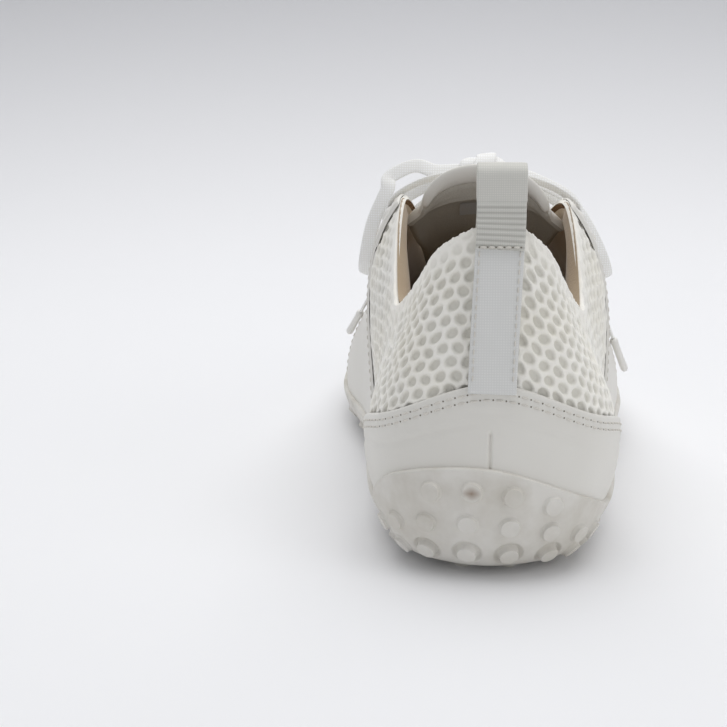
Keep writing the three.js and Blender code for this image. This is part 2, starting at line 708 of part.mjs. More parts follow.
// The ends lie flat over the eyestay and down the side.
const lateralEnd = [
  overThroat(4.85, -0.3, 6.4),
  overThroat(5.05, -0.62, 6.8),
  sideDown(5.25, 5, 6.6),
  sideDown(5.42, 16, 4.4),
  sideDown(5.55, 28, 2.6),
  sideDown(5.62, 40, 2.6),
  sideDown(5.66, 52, 2.6),
];
const medialEnd = [
  overThroat(4.85, 0.3, 6.4),
  overThroat(5.1, 0.62, 6.6),
  sideDown(turn - 5.35, 5, 6),
  sideDown(turn - 5.6, 15, 5),
  sideDown(turn - 5.8, 26, 2.6),
  sideDown(turn - 5.95, 37, 2.6),
  sideDown(turn - 6.05, 47, 2.6),
];
for (const [side, stops] of [['lateral', lateralEnd], ['medial', medialEnd]]) {
  const { points, geometry } = laceAlong(stops, false, 16);
  add(`lace_end_${side}`, 'lace', geometry);
  const tip = points.at(-1);
  const ahead = tip.clone().sub(points.at(-2)).normalize();
  const aglet = new THREE.CylinderGeometry(agletRadius, agletRadius, agletLength, 8).rotateX(Math.PI / 2);
  const mesh = add(`aglet_${side}`, 'tip', aglet);
  mesh.quaternion.setFromUnitVectors(up, ahead);
  mesh.position.copy(tip).addScaledVector(ahead, agletLength / 2 + gap);
}

// ---- pull tab ----

function tabAt(height, distance) {
  return layer(0, shareAtHeight(0, height), distance);
}

// A strip of tape down the middle of the heel, outside the net or inside the lining.
function tabStrip(low, high, inner, outer) {
  return slab(2, 8, (along, across, share) => {
    const point = tabAt(THREE.MathUtils.lerp(low, high, across), THREE.MathUtils.lerp(inner, outer, share));
    return point.setX(point.x + (along - 0.5) * tabWidth);
  });
}
const tapeOutside = gap + 0.9; // clear of the round of the heel at the edges of the tape
add('pull_tab_tape', 'tape', tabStrip(
  counterHeight + gap + 0.2, collarHeight - 1, tapeOutside, tapeOutside + tabThickness,
));
const innerFace = liningBack(0) - 1.7; // clear of the round of the lining at the edges of the tape
add('pull_tab_anchor', 'tape', tabStrip(
  collarHeight - 14, collarHeight - 0.2, innerFace - tabThickness, innerFace,
));

// The free loop: a folded band with straight legs, extruded across its width.
function tabLoop() {
  const { x, y: back } = tabAt(collarHeight - 0.5, tapeOutside + tabThickness);
  const front = tabAt(collarHeight - 0.5, innerFace - tabThickness).y;
  const [middle, half] = [(back + front) / 2, (front - back) / 2];
  const bottom = collarHeight + tabClearance;
  const topRound = 3.2;
  const band = (inset) => {
    const reach = half - inset;
    const top = collarHeight + tabRise - inset;
    return { reach, top, round: topRound - inset };
  };
  const [outer, inner] = [band(0), band(tabThickness)];
  const shape = new THREE.Shape();
  shape.moveTo(-outer.reach, bottom);
  shape.lineTo(-outer.reach, outer.top - outer.round);
  shape.quadraticCurveTo(-outer.reach, outer.top, -outer.reach + outer.round, outer.top);
  shape.lineTo(outer.reach - outer.round, outer.top);
  shape.quadraticCurveTo(outer.reach, outer.top, outer.reach, outer.top - outer.round);
  shape.lineTo(outer.reach, bottom);
  shape.lineTo(inner.reach, bottom);
  shape.lineTo(inner.reach, inner.top - inner.round);
  shape.quadraticCurveTo(inner.reach, inner.top, inner.reach - inner.round, inner.top);
  shape.lineTo(-inner.reach + inner.round, inner.top);
  shape.quadraticCurveTo(-inner.reach, inner.top, -inner.reach, inner.top - inner.round);
  shape.lineTo(-inner.reach, bottom);
  shape.closePath();
  const geometry = new THREE.ExtrudeGeometry(shape, { depth: tabWidth, bevelEnabled: false, curveSegments: 3 });
  // The shape's x becomes Y and its y becomes Z, and the depth runs along X.
  geometry.applyMatrix4(new THREE.Matrix4().makeBasis(new THREE.Vector3(0, 1, 0), up, new THREE.Vector3(1, 0, 0)));
  return geometry.translate(x - tabWidth / 2, middle, 0);
}
add('pull_tab_loop', 'webbing', tabLoop());

export default shoe;
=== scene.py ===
"""A low running shoe for the right foot: studded cup sole, net upper, smooth panels, tied laces, pull tab.

The shoe is laid out in millimetres in the frame of its solids and turned to metres as each mesh is made.
"""

import math

import bpy
import numpy as np
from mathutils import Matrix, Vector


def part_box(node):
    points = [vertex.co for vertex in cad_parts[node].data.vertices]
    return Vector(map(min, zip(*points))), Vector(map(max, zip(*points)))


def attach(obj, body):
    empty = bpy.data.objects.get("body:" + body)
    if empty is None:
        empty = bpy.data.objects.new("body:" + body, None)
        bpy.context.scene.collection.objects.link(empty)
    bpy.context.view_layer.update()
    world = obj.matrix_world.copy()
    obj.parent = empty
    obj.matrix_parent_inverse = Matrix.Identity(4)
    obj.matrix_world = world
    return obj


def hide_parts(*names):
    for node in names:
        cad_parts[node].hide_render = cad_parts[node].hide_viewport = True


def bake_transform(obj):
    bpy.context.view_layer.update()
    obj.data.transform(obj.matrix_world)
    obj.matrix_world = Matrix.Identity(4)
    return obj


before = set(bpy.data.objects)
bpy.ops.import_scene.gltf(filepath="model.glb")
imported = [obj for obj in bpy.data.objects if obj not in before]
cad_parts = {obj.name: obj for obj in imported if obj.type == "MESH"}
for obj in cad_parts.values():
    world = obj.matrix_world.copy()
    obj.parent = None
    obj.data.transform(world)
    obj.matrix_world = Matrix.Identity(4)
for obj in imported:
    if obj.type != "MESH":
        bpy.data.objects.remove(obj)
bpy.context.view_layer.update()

MM = 1 / 1000

# ---- sizes of the shoe, in millimetres ----

SHOE_LENGTH = 276.0
HEEL_WIDTH = 71.0
BALL_WIDTH = 104.0
COLLAR_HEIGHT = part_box("net_quarter_lateral")[1].z * 1000
TOE_SPRING = 8.0
SPRING_START = 190.0
ORIGIN_FROM_HEEL = 28.0

GAP = 0.3
NET = 1.6
LINING = 1.2
PANEL = 0.9
STIFFENER = 1.1
COUNTER_HEIGHT = 56.5
NET_TUCK = 6.0

RUBBER = 2.5
LUG_HEIGHT = 2.6
LUG_RADIUS = 2.7
LUG_PITCH = 12.5
WRAP_LUG_HEIGHT = 1.2
BOARD = 1.2
INSOLE = 3.0

TONGUE = 3.5
TONGUE_TOP = 12.0
TONGUE_UNDERLAP = 8.0
BINDING = 5.0
EYESTAY_WIDTH = 17.0
EYELET_RADIUS = 3.6
EYELET_HOLE = 2.0
EYELET_THICKNESS = 0.9
EYELET_INSET = 8.5
EYELET_ROWS = 6
LACE_WIDTH = 5.0
LACE_THICKNESS = 1.2
AGLET_LENGTH = 14.0
AGLET_RADIUS = 1.5
TAB_WIDTH = 13.0
TAB_THICKNESS = 1.2

HALF_TURN = 9
TURN = 2 * HALF_TURN
FLOOR = LUG_HEIGHT + RUBBER + GAP

# Stations round the shoe from the back of the heel along the lateral side, each with its widest outline
# (side, along, height), inset at the ground, rise of the wall, top edge (side, along, height), lean at
# the top and rim height of the rubber.
STATIONS = np.array([
    (0, 0, 37, 9.5, 20, 0.06, 0.025, 1, 8, 33.2),
    (0.72, 0.033, 37, 12, 18, 0.41, 0.04, 0.93, 9, 23.5),
    (1.05, 0.12, 35, 14, 14, 0.66, 0.107, 0.766, 12, 15.5),
    (1.1, 0.23, 27, 10, 14, 0.83, 0.207, 0.7, 14, 18),
    (1.09, 0.345, 20, 8, 24, 0.75, 0.335, 0.97, 42, 15.5),
    (1.07, 0.465, 19, 8, 24, 0.56, 0.443, 0.88, 50, 14.5),
    (1.02, 0.6, 18, 8, 22, 0.44, 0.543, 0.765, 57, 14.5),
    (1.01, 0.745, 17, 8, 20, 0.34, 0.622, 0.67, 64, 14.5),
    (0.76, 0.892, 17, 11, 19, 0.2, 0.671, 0.615, 68, 16.5),
    (0, 0.99, 18, 14, 19, -0.04, 0.69, 0.595, 70, 20),
    (-0.74, 0.942, 17, 11, 19, -0.28, 0.671, 0.615, 68, 16.5),
    (-0.96, 0.8, 17, 8, 20, -0.42, 0.622, 0.67, 64, 14.5),
    (-0.96, 0.645, 18, 8, 22, -0.5, 0.543, 0.77, 57, 14.5),
    (-0.92, 0.493, 20, 9, 24, -0.6, 0.443, 0.885, 50, 15.5),
    (-0.97, 0.35, 21, 8, 24, -0.77, 0.335, 0.98, 42, 16.5),
    (-0.99, 0.23, 27, 10, 14, -0.8, 0.207, 0.71, 14, 18),
    (-0.97, 0.118, 35, 14, 14, -0.64, 0.107, 0.775, 12, 16),
    (-0.7, 0.032, 37, 12, 18, -0.39, 0.04, 0.93, 9, 29.5),
])
SIDE, ALONG, HIGH, INSET, RISE, TOP_SIDE, TOP_ALONG, TOP_HIGH, LEAN, RIM = range(10)
UP = np.array([0.0, 0.0, 1.0])


# ---- the surface of the last, which every layer of the upper follows ----

def smoothstep(x, low, high):
    share = np.clip((np.asarray(x, float) - low) / (high - low), 0, 1)
    return share * share * (3 - 2 * share)


def unit(vectors):
    return vectors / np.maximum(np.linalg.norm(vectors, axis=-1, keepdims=True), 1e-9)


def half_width(along):
    """Half the width of the last at a share of its length."""
    return (HEEL_WIDTH + (BALL_WIDTH - HEEL_WIDTH) * smoothstep(along, 0.3, 0.65)) / 2


SIDES_MM = STATIONS[:, SIDE] * half_width(STATIONS[:, ALONG])


def from_heel(k):
    """How many stations k lies from the back of the heel, the shorter way round."""
    turned = np.mod(k, TURN)
    return np.minimum(turned, TURN - turned)


def round_shoe(k, values):
    """A smooth value at station k through the value at each whole station."""
    k = np.asarray(k, float)
    whole = np.floor(k).astype(int)
    f = k - whole
    a, b, c, d = (values[(whole + i) % TURN] for i in (-1, 0, 1, 2))
    return b + 0.5 * f * (c - a + f * (2 * a - 5 * b + 4 * c - d + f * (3 * (b - c) + d - a)))


def at_station(k, column):
    return round_shoe(k, STATIONS[:, column])


def outline(k):
    """The widest outline at station k."""
    along = at_station(k, ALONG) * SHOE_LENGTH - ORIGIN_FROM_HEEL
    return np.stack([round_shoe(k, SIDES_MM), along, at_station(k, HIGH)], -1)


def outward(k):
    """The level direction out of the shoe at station k."""
    k = np.asarray(k, float)
    along = outline(k + 0.05) - outline(k - 0.05)
    return unit(np.stack([along[..., 1], -along[..., 0], 0 * along[..., 0]], -1))


def ground_ring(k):
    """The ring round the flat of the sole, where the bowl starts to climb."""
    ring = outline(k) - outward(k) * at_station(k, INSET)[..., None]
    ring[..., 2] = FLOOR
    return ring


def top_edge(k):
    """The collar behind station 4 and the throat in front of it."""
    side = at_station(k, TOP_SIDE) * HEEL_WIDTH / 2
    along = at_station(k, TOP_ALONG) * SHOE_LENGTH - ORIGIN_FROM_HEEL
    return np.stack([side, along, at_station(k, TOP_HIGH) * COLLAR_HEIGHT], -1)


def cubic(a, b, c, d, t):
    t = t[..., None]
    s = 1 - t
    return s**3 * a + 3 * s * s * t * b + 3 * s * t * t * c + t**3 * d


def last(k, t):
    """The point at station k and height share t: 0 to 1 climbs the bowl, 1 to 2 the wall."""
    k, t = np.broadcast_arrays(np.asarray(k, float), np.asarray(t, float))
    wide, ground, top = outline(k), ground_ring(k), top_edge(k)
    reach = (wide - ground) * (1, 1, 0)
    climb = (wide - ground) * (0, 0, 1)
    bowl = cubic(ground, ground + 0.5523 * reach, wide - 0.5523 * climb, wide, np.clip(t, 0, 1))
    inward = unit((top - wide) * (1, 1, 0))
    lean = np.radians(at_station(k, LEAN))[..., None]
    arriving = UP * np.cos(lean) + inward * np.sin(lean)
    span = np.linalg.norm(top - wide, axis=-1, keepdims=True)
    rise = wide + UP * at_station(k, RISE)[..., None]
    wall = cubic(wide, rise, top - 0.38 * span * arriving, top, np.clip(t - 1, 0, 1))
    return np.where(t[..., None] <= 1, bowl, wall)


def normal_at(k, t):
    k, t = np.broadcast_arrays(np.asarray(k, float), np.asarray(t, float))
    around = last(k + 0.02, t) - last(k - 0.02, t)
    climb = last(k, np.minimum(t + 0.02, 2)) - last(k, np.maximum(t - 0.02, 0))
    return unit(np.cross(around, climb))


def sprung(points):
    """Lifts points with the curve of the sole towards the toe."""
    share = np.maximum(0, points[..., 1] + ORIGIN_FROM_HEEL - SPRING_START) / (SHOE_LENGTH - SPRING_START)
    return points + UP * (TOE_SPRING * share * share)[..., None]


def layer(k, t, distance):
    """Points a distance outside the last, inside it when negative."""
    return sprung(last(k, t) + normal_at(k, t) * np.asarray(distance, float)[..., None])


def share_at_height(k, height):
    """The height share at which the last reaches a height."""
    k, height = np.broadcast_arrays(np.asarray(k, float), np.asarray(height, float))
    low, high = np.zeros(k.shape), np.full(k.shape, 2.0)
    for _ in range(22):
        middle = (low + high) / 2
        under = last(k, middle)[..., 2] < height
        low, high = np.where(under, middle, low), np.where(under, high, middle)
    return low


def share_below_top(k, distance):
    """The height share a distance below the top edge, measured over the skin."""
    k, distance = np.broadcast_arrays(np.asarray(k, float), np.asarray(distance, float))
    shares = 2 - np.arange(25) / 24
    points = last(k[..., None], shares)
    steps = np.linalg.norm(np.diff(points, axis=-2), axis=-1)
    travelled = np.concatenate([np.zeros(k.shape + (1,)), np.cumsum(steps, -1)], -1)
    flat = [np.interp(d, row, shares) for d, row in zip(distance.ravel(), travelled.reshape(-1, 25))]
    return np.array(flat).reshape(k.shape)


def rim_share(k, above=0.0):
    return share_at_height(k, at_station(k, RIM) + above)


def arch(k, across, distance, underlap=TONGUE_UNDERLAP):
    """Points over the throat: across runs from -1, lateral, to 1, medial, at a distance from the last."""
    k, across, distance = np.broadcast_arrays(*(np.asarray(x, float) for x in (k, across, distance)))
    ends = []
    for side in (k, TURN - k):
        t = share_below_top(side, underlap)
        base = last(side, t) + normal_at(side, t) * distance[..., None]
        ahead = last(side, t + 0.02) + normal_at(side, t + 0.02) * distance[..., None]
        ends.append((base, unit(ahead - base)))
    (start, away), (end, back) = ends
    span = 0.36 * np.linalg.norm(end - start, axis=-1, keepdims=True)
    return sprung(cubic(start, start + away * span, end + back * span, end, (across + 1) / 2))


def lining_face(k):
    """Depth of the lining's outer face: it leaves room for the stiffener at heel and toe."""
    heel = 1 - smoothstep(from_heel(k), 3, 3.9)
    toe = smoothstep(from_heel(k), 6.6, 7.5)
    return -(NET + GAP) - 0.3 - (STIFFENER + GAP - 0.3) * np.maximum(heel, toe)


# ---- making meshes ----

def make_piece(name, points, faces, material, body="shoe", attributes=None, smooth=True):
    """A mesh from points in millimetres, riding on a body."""
    corners = np.asarray(points, float).reshape(-1, 3) * MM
    mesh = bpy.data.meshes.new(name)
    mesh.from_pydata(corners.tolist(), [], [[int(i) for i in face] for face in faces])
    for key, values in (attributes or {}).items():
        stored = mesh.attributes.new(key, "FLOAT", "POINT")
        stored.data.foreach_set("value", np.ravel(values).astype(np.float32))
    mesh.materials.append(material)
    if smooth:
        mesh.shade_smooth()
    mesh.update()
    piece = bpy.data.objects.new(name, mesh)
    bpy.context.scene.collection.objects.link(piece)
    if body:
        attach(piece, body)
    return piece


def grid_faces(columns, rows, start=0, close_columns=False, close_rows=False):
    """Quads of a grid of points stored column by column."""
    i, j = np.meshgrid(np.arange(columns if close_columns else columns - 1),
                       np.arange(rows if close_rows else rows - 1), indexing="ij")
    next_i, next_j = (i + 1) % columns, (j + 1) % rows
    corners = (i * rows + j, next_i * rows + j, next_i * rows + next_j, i * rows + next_j)
    return np.stack(corners, -1).reshape(-1, 4) + start


def edged(steps, edge):
    """Shares from 0 to 1 in even steps, with extra ones close to both ends for a rounded edge."""
    close = edge * np.array([0, 0.15, 0.45, 1])
    return np.concatenate([close, np.linspace(edge, 1 - edge, steps + 1)[1:-1], 1 - close[::-1]])


def travelled(points, axis):
    """Distance travelled over a grid of points along an axis, from its first row."""
    steps = np.linalg.norm(np.diff(points, axis=axis), axis=-1)
    start = np.zeros_like(np.take(steps, [0], axis))
    return np.concatenate([start, np.cumsum(steps, axis)], axis)


def edge_distance(points, sides="lrbt"):
    """Distance to the nearest edge of a grid of points; sides names the edges that count."""
    along, up = travelled(points, 0), travelled(points, 1)
    far = {"l": along, "r": along[-1:] - along, "b": up, "t": up[:, -1:] - up}
    return np.min([far[s] for s in sides], axis=0)


def panel(name, material, k, low, high, rows, depth, thickness, edge=0.7, sides="lrbt", relief=None):
    """A thin panel sewn on the upper, with rounded edges that run down to its underside."""
    shares = edged(rows, 0.02)
    t = low(k)[:, None] + (high(k) - low(k))[:, None] * shares
    wide = np.repeat(k[:, None], len(shares), 1)
    base = layer(wide, t, np.full(wide.shape, depth))
    inside = np.clip(edge_distance(base, sides) / edge, 0, 1)
    lift = depth + thickness * np.sqrt(1 - (1 - inside) ** 2)
    if relief is not None:
        lift = lift + relief(wide, t, base) * inside
    return make_piece(name, layer(wide, t, lift), grid_faces(len(k), len(shares)), material)


def even_curve(points, spacing):
    """Points at an even spacing along a smooth line through the given ones."""
    points = np.asarray(points, float)
    padded = np.concatenate([2 * points[:1] - points[1:2], points, 2 * points[-1:] - points[-2:-1]])
    fine = []
    for i in range(len(points) - 1):
        a, b, c, d = padded[i:i + 4]
        f = np.linspace(0, 1, 24, endpoint=False)[:, None]
        fine.append(b + 0.5 * f * (c - a + f * (2 * a - 5 * b + 4 * c - d + f * (3 * (b - c) + d - a))))
    fine = np.concatenate(fine + [points[-1:]])
    run = np.concatenate([[0], np.cumsum(np.linalg.norm(np.diff(fine[:, :3], axis=0), axis=1))])
    count = max(2, int(round(run[-1] / spacing)) + 1)
    even = np.linspace(0, run[-1], count)
    return np.stack([np.interp(even, run, fine[:, i]) for i in range(fine.shape[1])], -1)


def ribbon_points(points, sides, width, thickness, section=16, power=2.6):
    """Rings of a flat rounded section along points, lying across the side directions."""
    ahead = unit(np.gradient(points, axis=0))
    side = unit(sides - ahead * np.sum(sides * ahead, -1, keepdims=True))
    face = np.cross(ahead, side)
    angle = np.arange(section) / section * 2 * math.pi
    across = np.sign(np.cos(angle)) * np.abs(np.cos(angle)) ** (2 / power)
    over = np.sign(np.sin(angle)) * np.abs(np.sin(angle)) ** (2 / power)
    width, thickness = (np.broadcast_to(np.asarray(x, float), len(points))[:, None, None] / 2
                        for x in (width, thickness))
    return (points[:, None] + side[:, None] * across[None, :, None] * width
            + face[:, None] * over[None, :, None] * thickness)


def ribbon(name, material, points, sides, width, thickness,
           body="shoe", section=16, power=2.6, groove=0.0):
    """A closed flat band with its ends capped; groove is how deep in shade each ring lies."""
    rings = ribbon_points(points, sides, width, thickness, section, power)
    faces = [tuple(f) for f in grid_faces(len(points), section, close_rows=True)]
    faces.append(tuple(range(section))[::-1])
    faces.append(tuple(range((len(points) - 1) * section, len(points) * section)))
    shade = np.repeat(np.broadcast_to(groove, len(points)), section)
    return make_piece(name, rings, faces, material, body, {"groove": shade})


# ---- materials ----

def linear(hex_colour):
    """An sRGB hex colour as linear values with full alpha."""
    channels = [int(hex_colour[i:i + 2], 16) / 255 for i in (1, 3, 5)]
    return tuple(c / 12.92 if c <= 0.04045 else ((c + 0.055) / 1.055) ** 2.4 for c in channels) + (1.0,)


FIRST, SECOND, MIXED = 6, 7, 2  # a Mix node's two colours and its result, when it's set to colour


def add_node(tree, kind, inputs=None, feeds=None, **settings):
    """One node with its settings and links: an input is a value or a socket, and feeds is what it drives."""
    node = tree.nodes.new(kind)
    for name, value in settings.items():
        setattr(node, name, value)
    for name, value in (inputs or {}).items():
        if isinstance(value, bpy.types.NodeSocket):
            tree.links.new(value, node.inputs[name])
        else:
            node.inputs[name].default_value = value
    if feeds:
        tree.links.new(next(socket for socket in node.outputs if socket.enabled), feeds)
    return node


def per_mm(count):
    """The scale of a pattern with a number of cells to a millimetre."""
    return count * 1000


def new_material(name, roughness, **shader_values):
    """A material with its node tree, object coordinates, and the shader's sockets for colour and relief."""
    material = bpy.data.materials.new(name)
    material.use_nodes = True
    tree = material.node_tree
    shader = tree.nodes["Principled BSDF"]
    shader.inputs["Roughness"].default_value = roughness
    for key, value in shader_values.items():
        shader.inputs[key.replace("_", " ")].default_value = value
    place = add_node(tree, "ShaderNodeTexCoord").outputs["Object"]
    return material, tree, place, shader.inputs["Base Color"], shader.inputs["Normal"]


def moulded_rubber():
    """Matt off-white rubber: a fine moulded grain, soft grey-brown patches of soil and one small stain."""
    material, tree, place, colour, relief = new_material("moulded_rubber", 0.62, IOR=1.5)
    grain = add_node(tree, "ShaderNodeTexNoise", {"Vector": place, "Scale": per_mm(1.4), "Detail": 3.0})
    patches = add_node(tree, "ShaderNodeTexNoise",
                       {"Vector": place, "Scale": per_mm(0.06), "Detail": 4.0, "Roughness": 0.6})
    soil = add_node(tree, "ShaderNodeMapRange",
                    {"Value": patches.outputs["Fac"], "From Min": 0.42, "From Max": 0.75})
    clean = add_node(tree, "ShaderNodeMix",
                     {"Factor": soil.outputs["Result"], FIRST: linear("#e2dfd8"), SECOND: linear("#cdc8bd")},
                     data_type="RGBA")
    stain = add_node(tree, "ShaderNodeAttribute", attribute_name="stain")
    add_node(tree, "ShaderNodeMix",
             {"Factor": stain.outputs["Fac"], FIRST: clean.outputs[MIXED], SECOND: linear("#7b5a3b")},
             feeds=colour, data_type="RGBA")
    add_node(tree, "ShaderNodeBump",
             {"Height": grain.outputs["Fac"], "Distance": 0.06 * MM, "Strength": 0.6}, feeds=relief)
    return material


def knitted_net():
    """Knitted spacer net: off-white raised yarn, the backing at the bottom of each hollow greyed with painted
    shade, fine loops.
    """
    material, tree, place, colour, relief = new_material(
        "knitted_net", 0.85, IOR=1.5, Sheen_Weight=0.25, Sheen_Roughness=0.5)
    # Painted shade: the attribute is 0 at the bottom of each hollow, which takes the grey, and 1 on the
    # raised yarn.
    cell_shade = add_node(tree, "ShaderNodeAttribute", attribute_name="cell_shade")
    yarn = add_node(tree, "ShaderNodeMix",
                    {"Factor": cell_shade.outputs["Fac"], FIRST: linear("#e3e2dc"), SECOND: linear("#fbfaf6")},
                    data_type="RGBA")
    loops = add_node(tree, "ShaderNodeTexVoronoi", {"Vector": place, "Scale": per_mm(1.7)})
    cloud = add_node(tree, "ShaderNodeTexNoise", {"Vector": place, "Scale": per_mm(0.045), "Detail": 3.0})
    add_node(tree, "ShaderNodeMix",
             {"Factor": cloud.outputs["Fac"], FIRST: yarn.outputs[MIXED], SECOND: linear("#faf6ec")},
             feeds=colour, data_type="RGBA", blend_type="MULTIPLY")
    add_node(tree, "ShaderNodeBump",
             {"Height": loops.outputs["Distance"], "Distance": 0.12 * MM, "Strength": 0.7}, feeds=relief)
    return material


def synthetic_leather():
    """Smooth coated microfibre: a faint pebble grain under a satin skin, with soft shallow creases."""
    material, tree, place, colour, relief = new_material("synthetic_leather", 0.5, IOR=1.5)
    pebble = add_node(tree, "ShaderNodeTexVoronoi", {"Vector": place, "Scale": per_mm(1.3)})
    crease = add_node(tree, "ShaderNodeTexNoise",
                      {"Vector": place, "Scale": per_mm(0.09), "Detail": 5.0, "Distortion": 0.6})
    cloud = add_node(tree, "ShaderNodeTexNoise", {"Vector": place, "Scale": per_mm(0.03), "Detail": 2.0})
    add_node(tree, "ShaderNodeMix",
             {"Factor": cloud.outputs["Fac"], FIRST: linear("#dedbd3"), SECOND: linear("#ebe9e3")},
             feeds=colour, data_type="RGBA")
    height = add_node(tree, "ShaderNodeMath", {0: pebble.outputs["Distance"], 1: 0.25}, operation="MULTIPLY")
    both = add_node(tree, "ShaderNodeMath",
                    {0: height.outputs[0], 1: crease.outputs["Fac"]}, operation="ADD")
    add_node(tree, "ShaderNodeBump",
             {"Height": both.outputs[0], "Distance": 0.14 * MM, "Strength": 0.5}, feeds=relief)
    return material


def brushed_lining():
    """Beige brushed cloth: a short soft nap that blurs its edges, a little darker where it's rubbed."""
    material, tree, place, colour, relief = new_material(
        "brushed_lining", 0.95, IOR=1.45, Sheen_Weight=0.4)
    nap = add_node(tree, "ShaderNodeTexNoise", {"Vector": place, "Scale": per_mm(1.5), "Detail": 4.0})
    rub = add_node(tree, "ShaderNodeTexNoise", {"Vector": place, "Scale": per_mm(0.07), "Detail": 3.0})
    add_node(tree, "ShaderNodeMix",
             {"Factor": rub.outputs["Fac"], FIRST: linear("#b39a7c"), SECOND: linear("#cbb798")},
             feeds=colour, data_type="RGBA")
    add_node(tree, "ShaderNodeBump",
             {"Height": nap.outputs["Fac"], "Distance": 0.2 * MM, "Strength": 0.8}, feeds=relief)
    return material


def raw_foam():
    """The brown cut edge of padding foam: open pores, with painted shade darkening the hollow of each pore.
    """
    material, tree, place, colour, relief = new_material("raw_foam", 1.0, IOR=1.4)
    pores = add_node(tree, "ShaderNodeTexVoronoi", {"Vector": place, "Scale": per_mm(1.5)})
    # Painted shade: darkest brown at the centre of each pore, where the bump sinks.
    add_node(tree, "ShaderNodeMix",
             {"Factor": pores.outputs["Distance"], FIRST: linear("#5b412a"), SECOND: linear("#8a6b4a")},
             feeds=colour, data_type="RGBA")
    add_node(tree, "ShaderNodeBump",
             {"Height": pores.outputs["Distance"], "Distance": 0.4 * MM, "Strength": 1.0}, feeds=relief)
    return material


def fibre_board():
    """Pressed fibre board: fawn, with short flat fibres."""
    material, tree, place, colour, relief = new_material("fibre_board", 0.9, IOR=1.5)
    fibres = add_node(tree, "ShaderNodeTexNoise",
                      {"Vector": place, "Scale": per_mm(0.9), "Detail": 5.0, "Distortion": 2.0})
    add_node(tree, "ShaderNodeMix",
             {"Factor": fibres.outputs["Fac"], FIRST: linear("#a89a84"), SECOND: linear("#c8bba6")},
             feeds=colour, data_type="RGBA")
    add_node(tree, "ShaderNodeBump",
             {"Height": fibres.outputs["Fac"], "Distance": 0.1 * MM, "Strength": 1.0}, feeds=relief)
    return material


WAVE_PERIOD = 2 * math.pi / 20  # length of one wave of the wave texture at scale 1


def woven(name, hex_dark, hex_light, thread_mm, roughness, weave_depth=0.6):
    """Flat woven yarn: crossing threads at the thread's own spacing, in shade where the band is grooved."""
    material, tree, place, colour, relief = new_material(name, roughness, IOR=1.5)
    threads = []
    for axis in ("X", "Z"):
        wave = add_node(tree, "ShaderNodeTexWave",
                        {"Vector": place, "Scale": per_mm(WAVE_PERIOD / thread_mm), "Distortion": 0.3},
                        wave_type="BANDS", bands_direction=axis)
        threads.append(wave.outputs["Fac"])
    cross = add_node(tree, "ShaderNodeMath", {0: threads[0], 1: threads[1]}, operation="MULTIPLY")
    slub = add_node(tree, "ShaderNodeTexNoise", {"Vector": place, "Scale": per_mm(0.22), "Detail": 3.0})
    mixed = add_node(tree, "ShaderNodeMath",
                     {0: cross.outputs[0], 1: slub.outputs["Fac"]}, operation="MULTIPLY")
    shade = add_node(tree, "ShaderNodeMapRange", {"Value": mixed.outputs[0], "From Max": 0.45})
    yarn = add_node(tree, "ShaderNodeMix",
                    {"Factor": shade.outputs["Result"], FIRST: linear(hex_dark), SECOND: linear(hex_light)},
                    data_type="RGBA")
    groove = add_node(tree, "ShaderNodeAttribute", attribute_name="groove")
    add_node(tree, "ShaderNodeMix",
             {"Factor": groove.outputs["Fac"], FIRST: yarn.outputs[MIXED], SECOND: linear("#8f8c84")},
             feeds=colour, data_type="RGBA")
    add_node(tree, "ShaderNodeBump",
             {"Height": cross.outputs[0], "Distance": 0.12 * MM, "Strength": weave_depth}, feeds=relief)
    return material


def injected_nylon():
    """Injection-moulded nylon of the eyelets and lace tips: satin white with a faint flow texture."""
    material, tree, place, colour, relief = new_material("injected_nylon", 0.35, IOR=1.53)
    flow = add_node(tree, "ShaderNodeTexNoise", {"Vector": place, "Scale": per_mm(0.3), "Detail": 2.0})
    add_node(tree, "ShaderNodeMix",
             {"Factor": flow.outputs["Fac"], FIRST: linear("#e6e4de"), SECOND: linear("#f2f0ec")},
             feeds=colour, data_type="RGBA")
    add_node(tree, "ShaderNodeBump",
             {"Height": flow.outputs["Fac"], "Distance": 0.03 * MM, "Strength": 1.0}, feeds=relief)
    return material


def plain_cloth(name, hex_dark, hex_light, grain_mm=0.4, roughness=0.95):
    """Plain matt cloth or thread with a grain of one size."""
    material, tree, place, colour, relief = new_material(name, roughness, IOR=1.45)
    grain = add_node(tree, "ShaderNodeTexNoise",
                     {"Vector": place, "Scale": per_mm(1 / grain_mm), "Detail": 3.0})
    add_node(tree, "ShaderNodeMix",
             {"Factor": grain.outputs["Fac"], FIRST: linear(hex_dark), SECOND: linear(hex_light)},
             feeds=colour, data_type="RGBA")
    add_node(tree, "ShaderNodeBump",
             {"Height": grain.outputs["Fac"], "Distance": grain_mm / 4 * MM, "Strength": 1.0}, feeds=relief)
    return material


RUBBER_LOOK = moulded_rubber()
NET_LOOK = knitted_net()
LEATHER_LOOK = synthetic_leather()
LINING_LOOK = brushed_lining()
FOAM_LOOK = raw_foam()
BOARD_LOOK = fibre_board()
TAPE_LOOK = woven("twill_tape", "#dcdcd9", "#e4e4e1", 0.7, 0.8, 0.1)
WEBBING_LOOK = woven("grosgrain_webbing", "#cecdc6", "#dbd9d2", 0.6, 0.85, 0.12)
LACE_LOOK = woven("flat_lace", "#f1f0ec", "#ffffff", 0.8, 0.85, 0.45)
NYLON_LOOK = injected_nylon()
THREAD_LOOK = plain_cloth("sewing_thread", "#cfcac0", "#e8e5dd", 0.3, 0.7)
# Painted shade: the dark grey stands in for the shade inside each needle hole.
NEEDLE_HOLE_SHADE = plain_cloth("needle_hole_shade", "#6d675c", "#8c8578", 0.3)
TONGUE_CLOTH = plain_cloth("tongue_cloth", "#aaa59b", "#c6c2b8", 0.5)
LABEL_LOOK = plain_cloth("label_satin", "#b3b3b1", "#c6c6c4", 0.3, 0.6)
INSOLE_LOOK = plain_cloth("insole_cloth", "#6d5c48", "#8a775f", 0.8)


# ---- camera ----

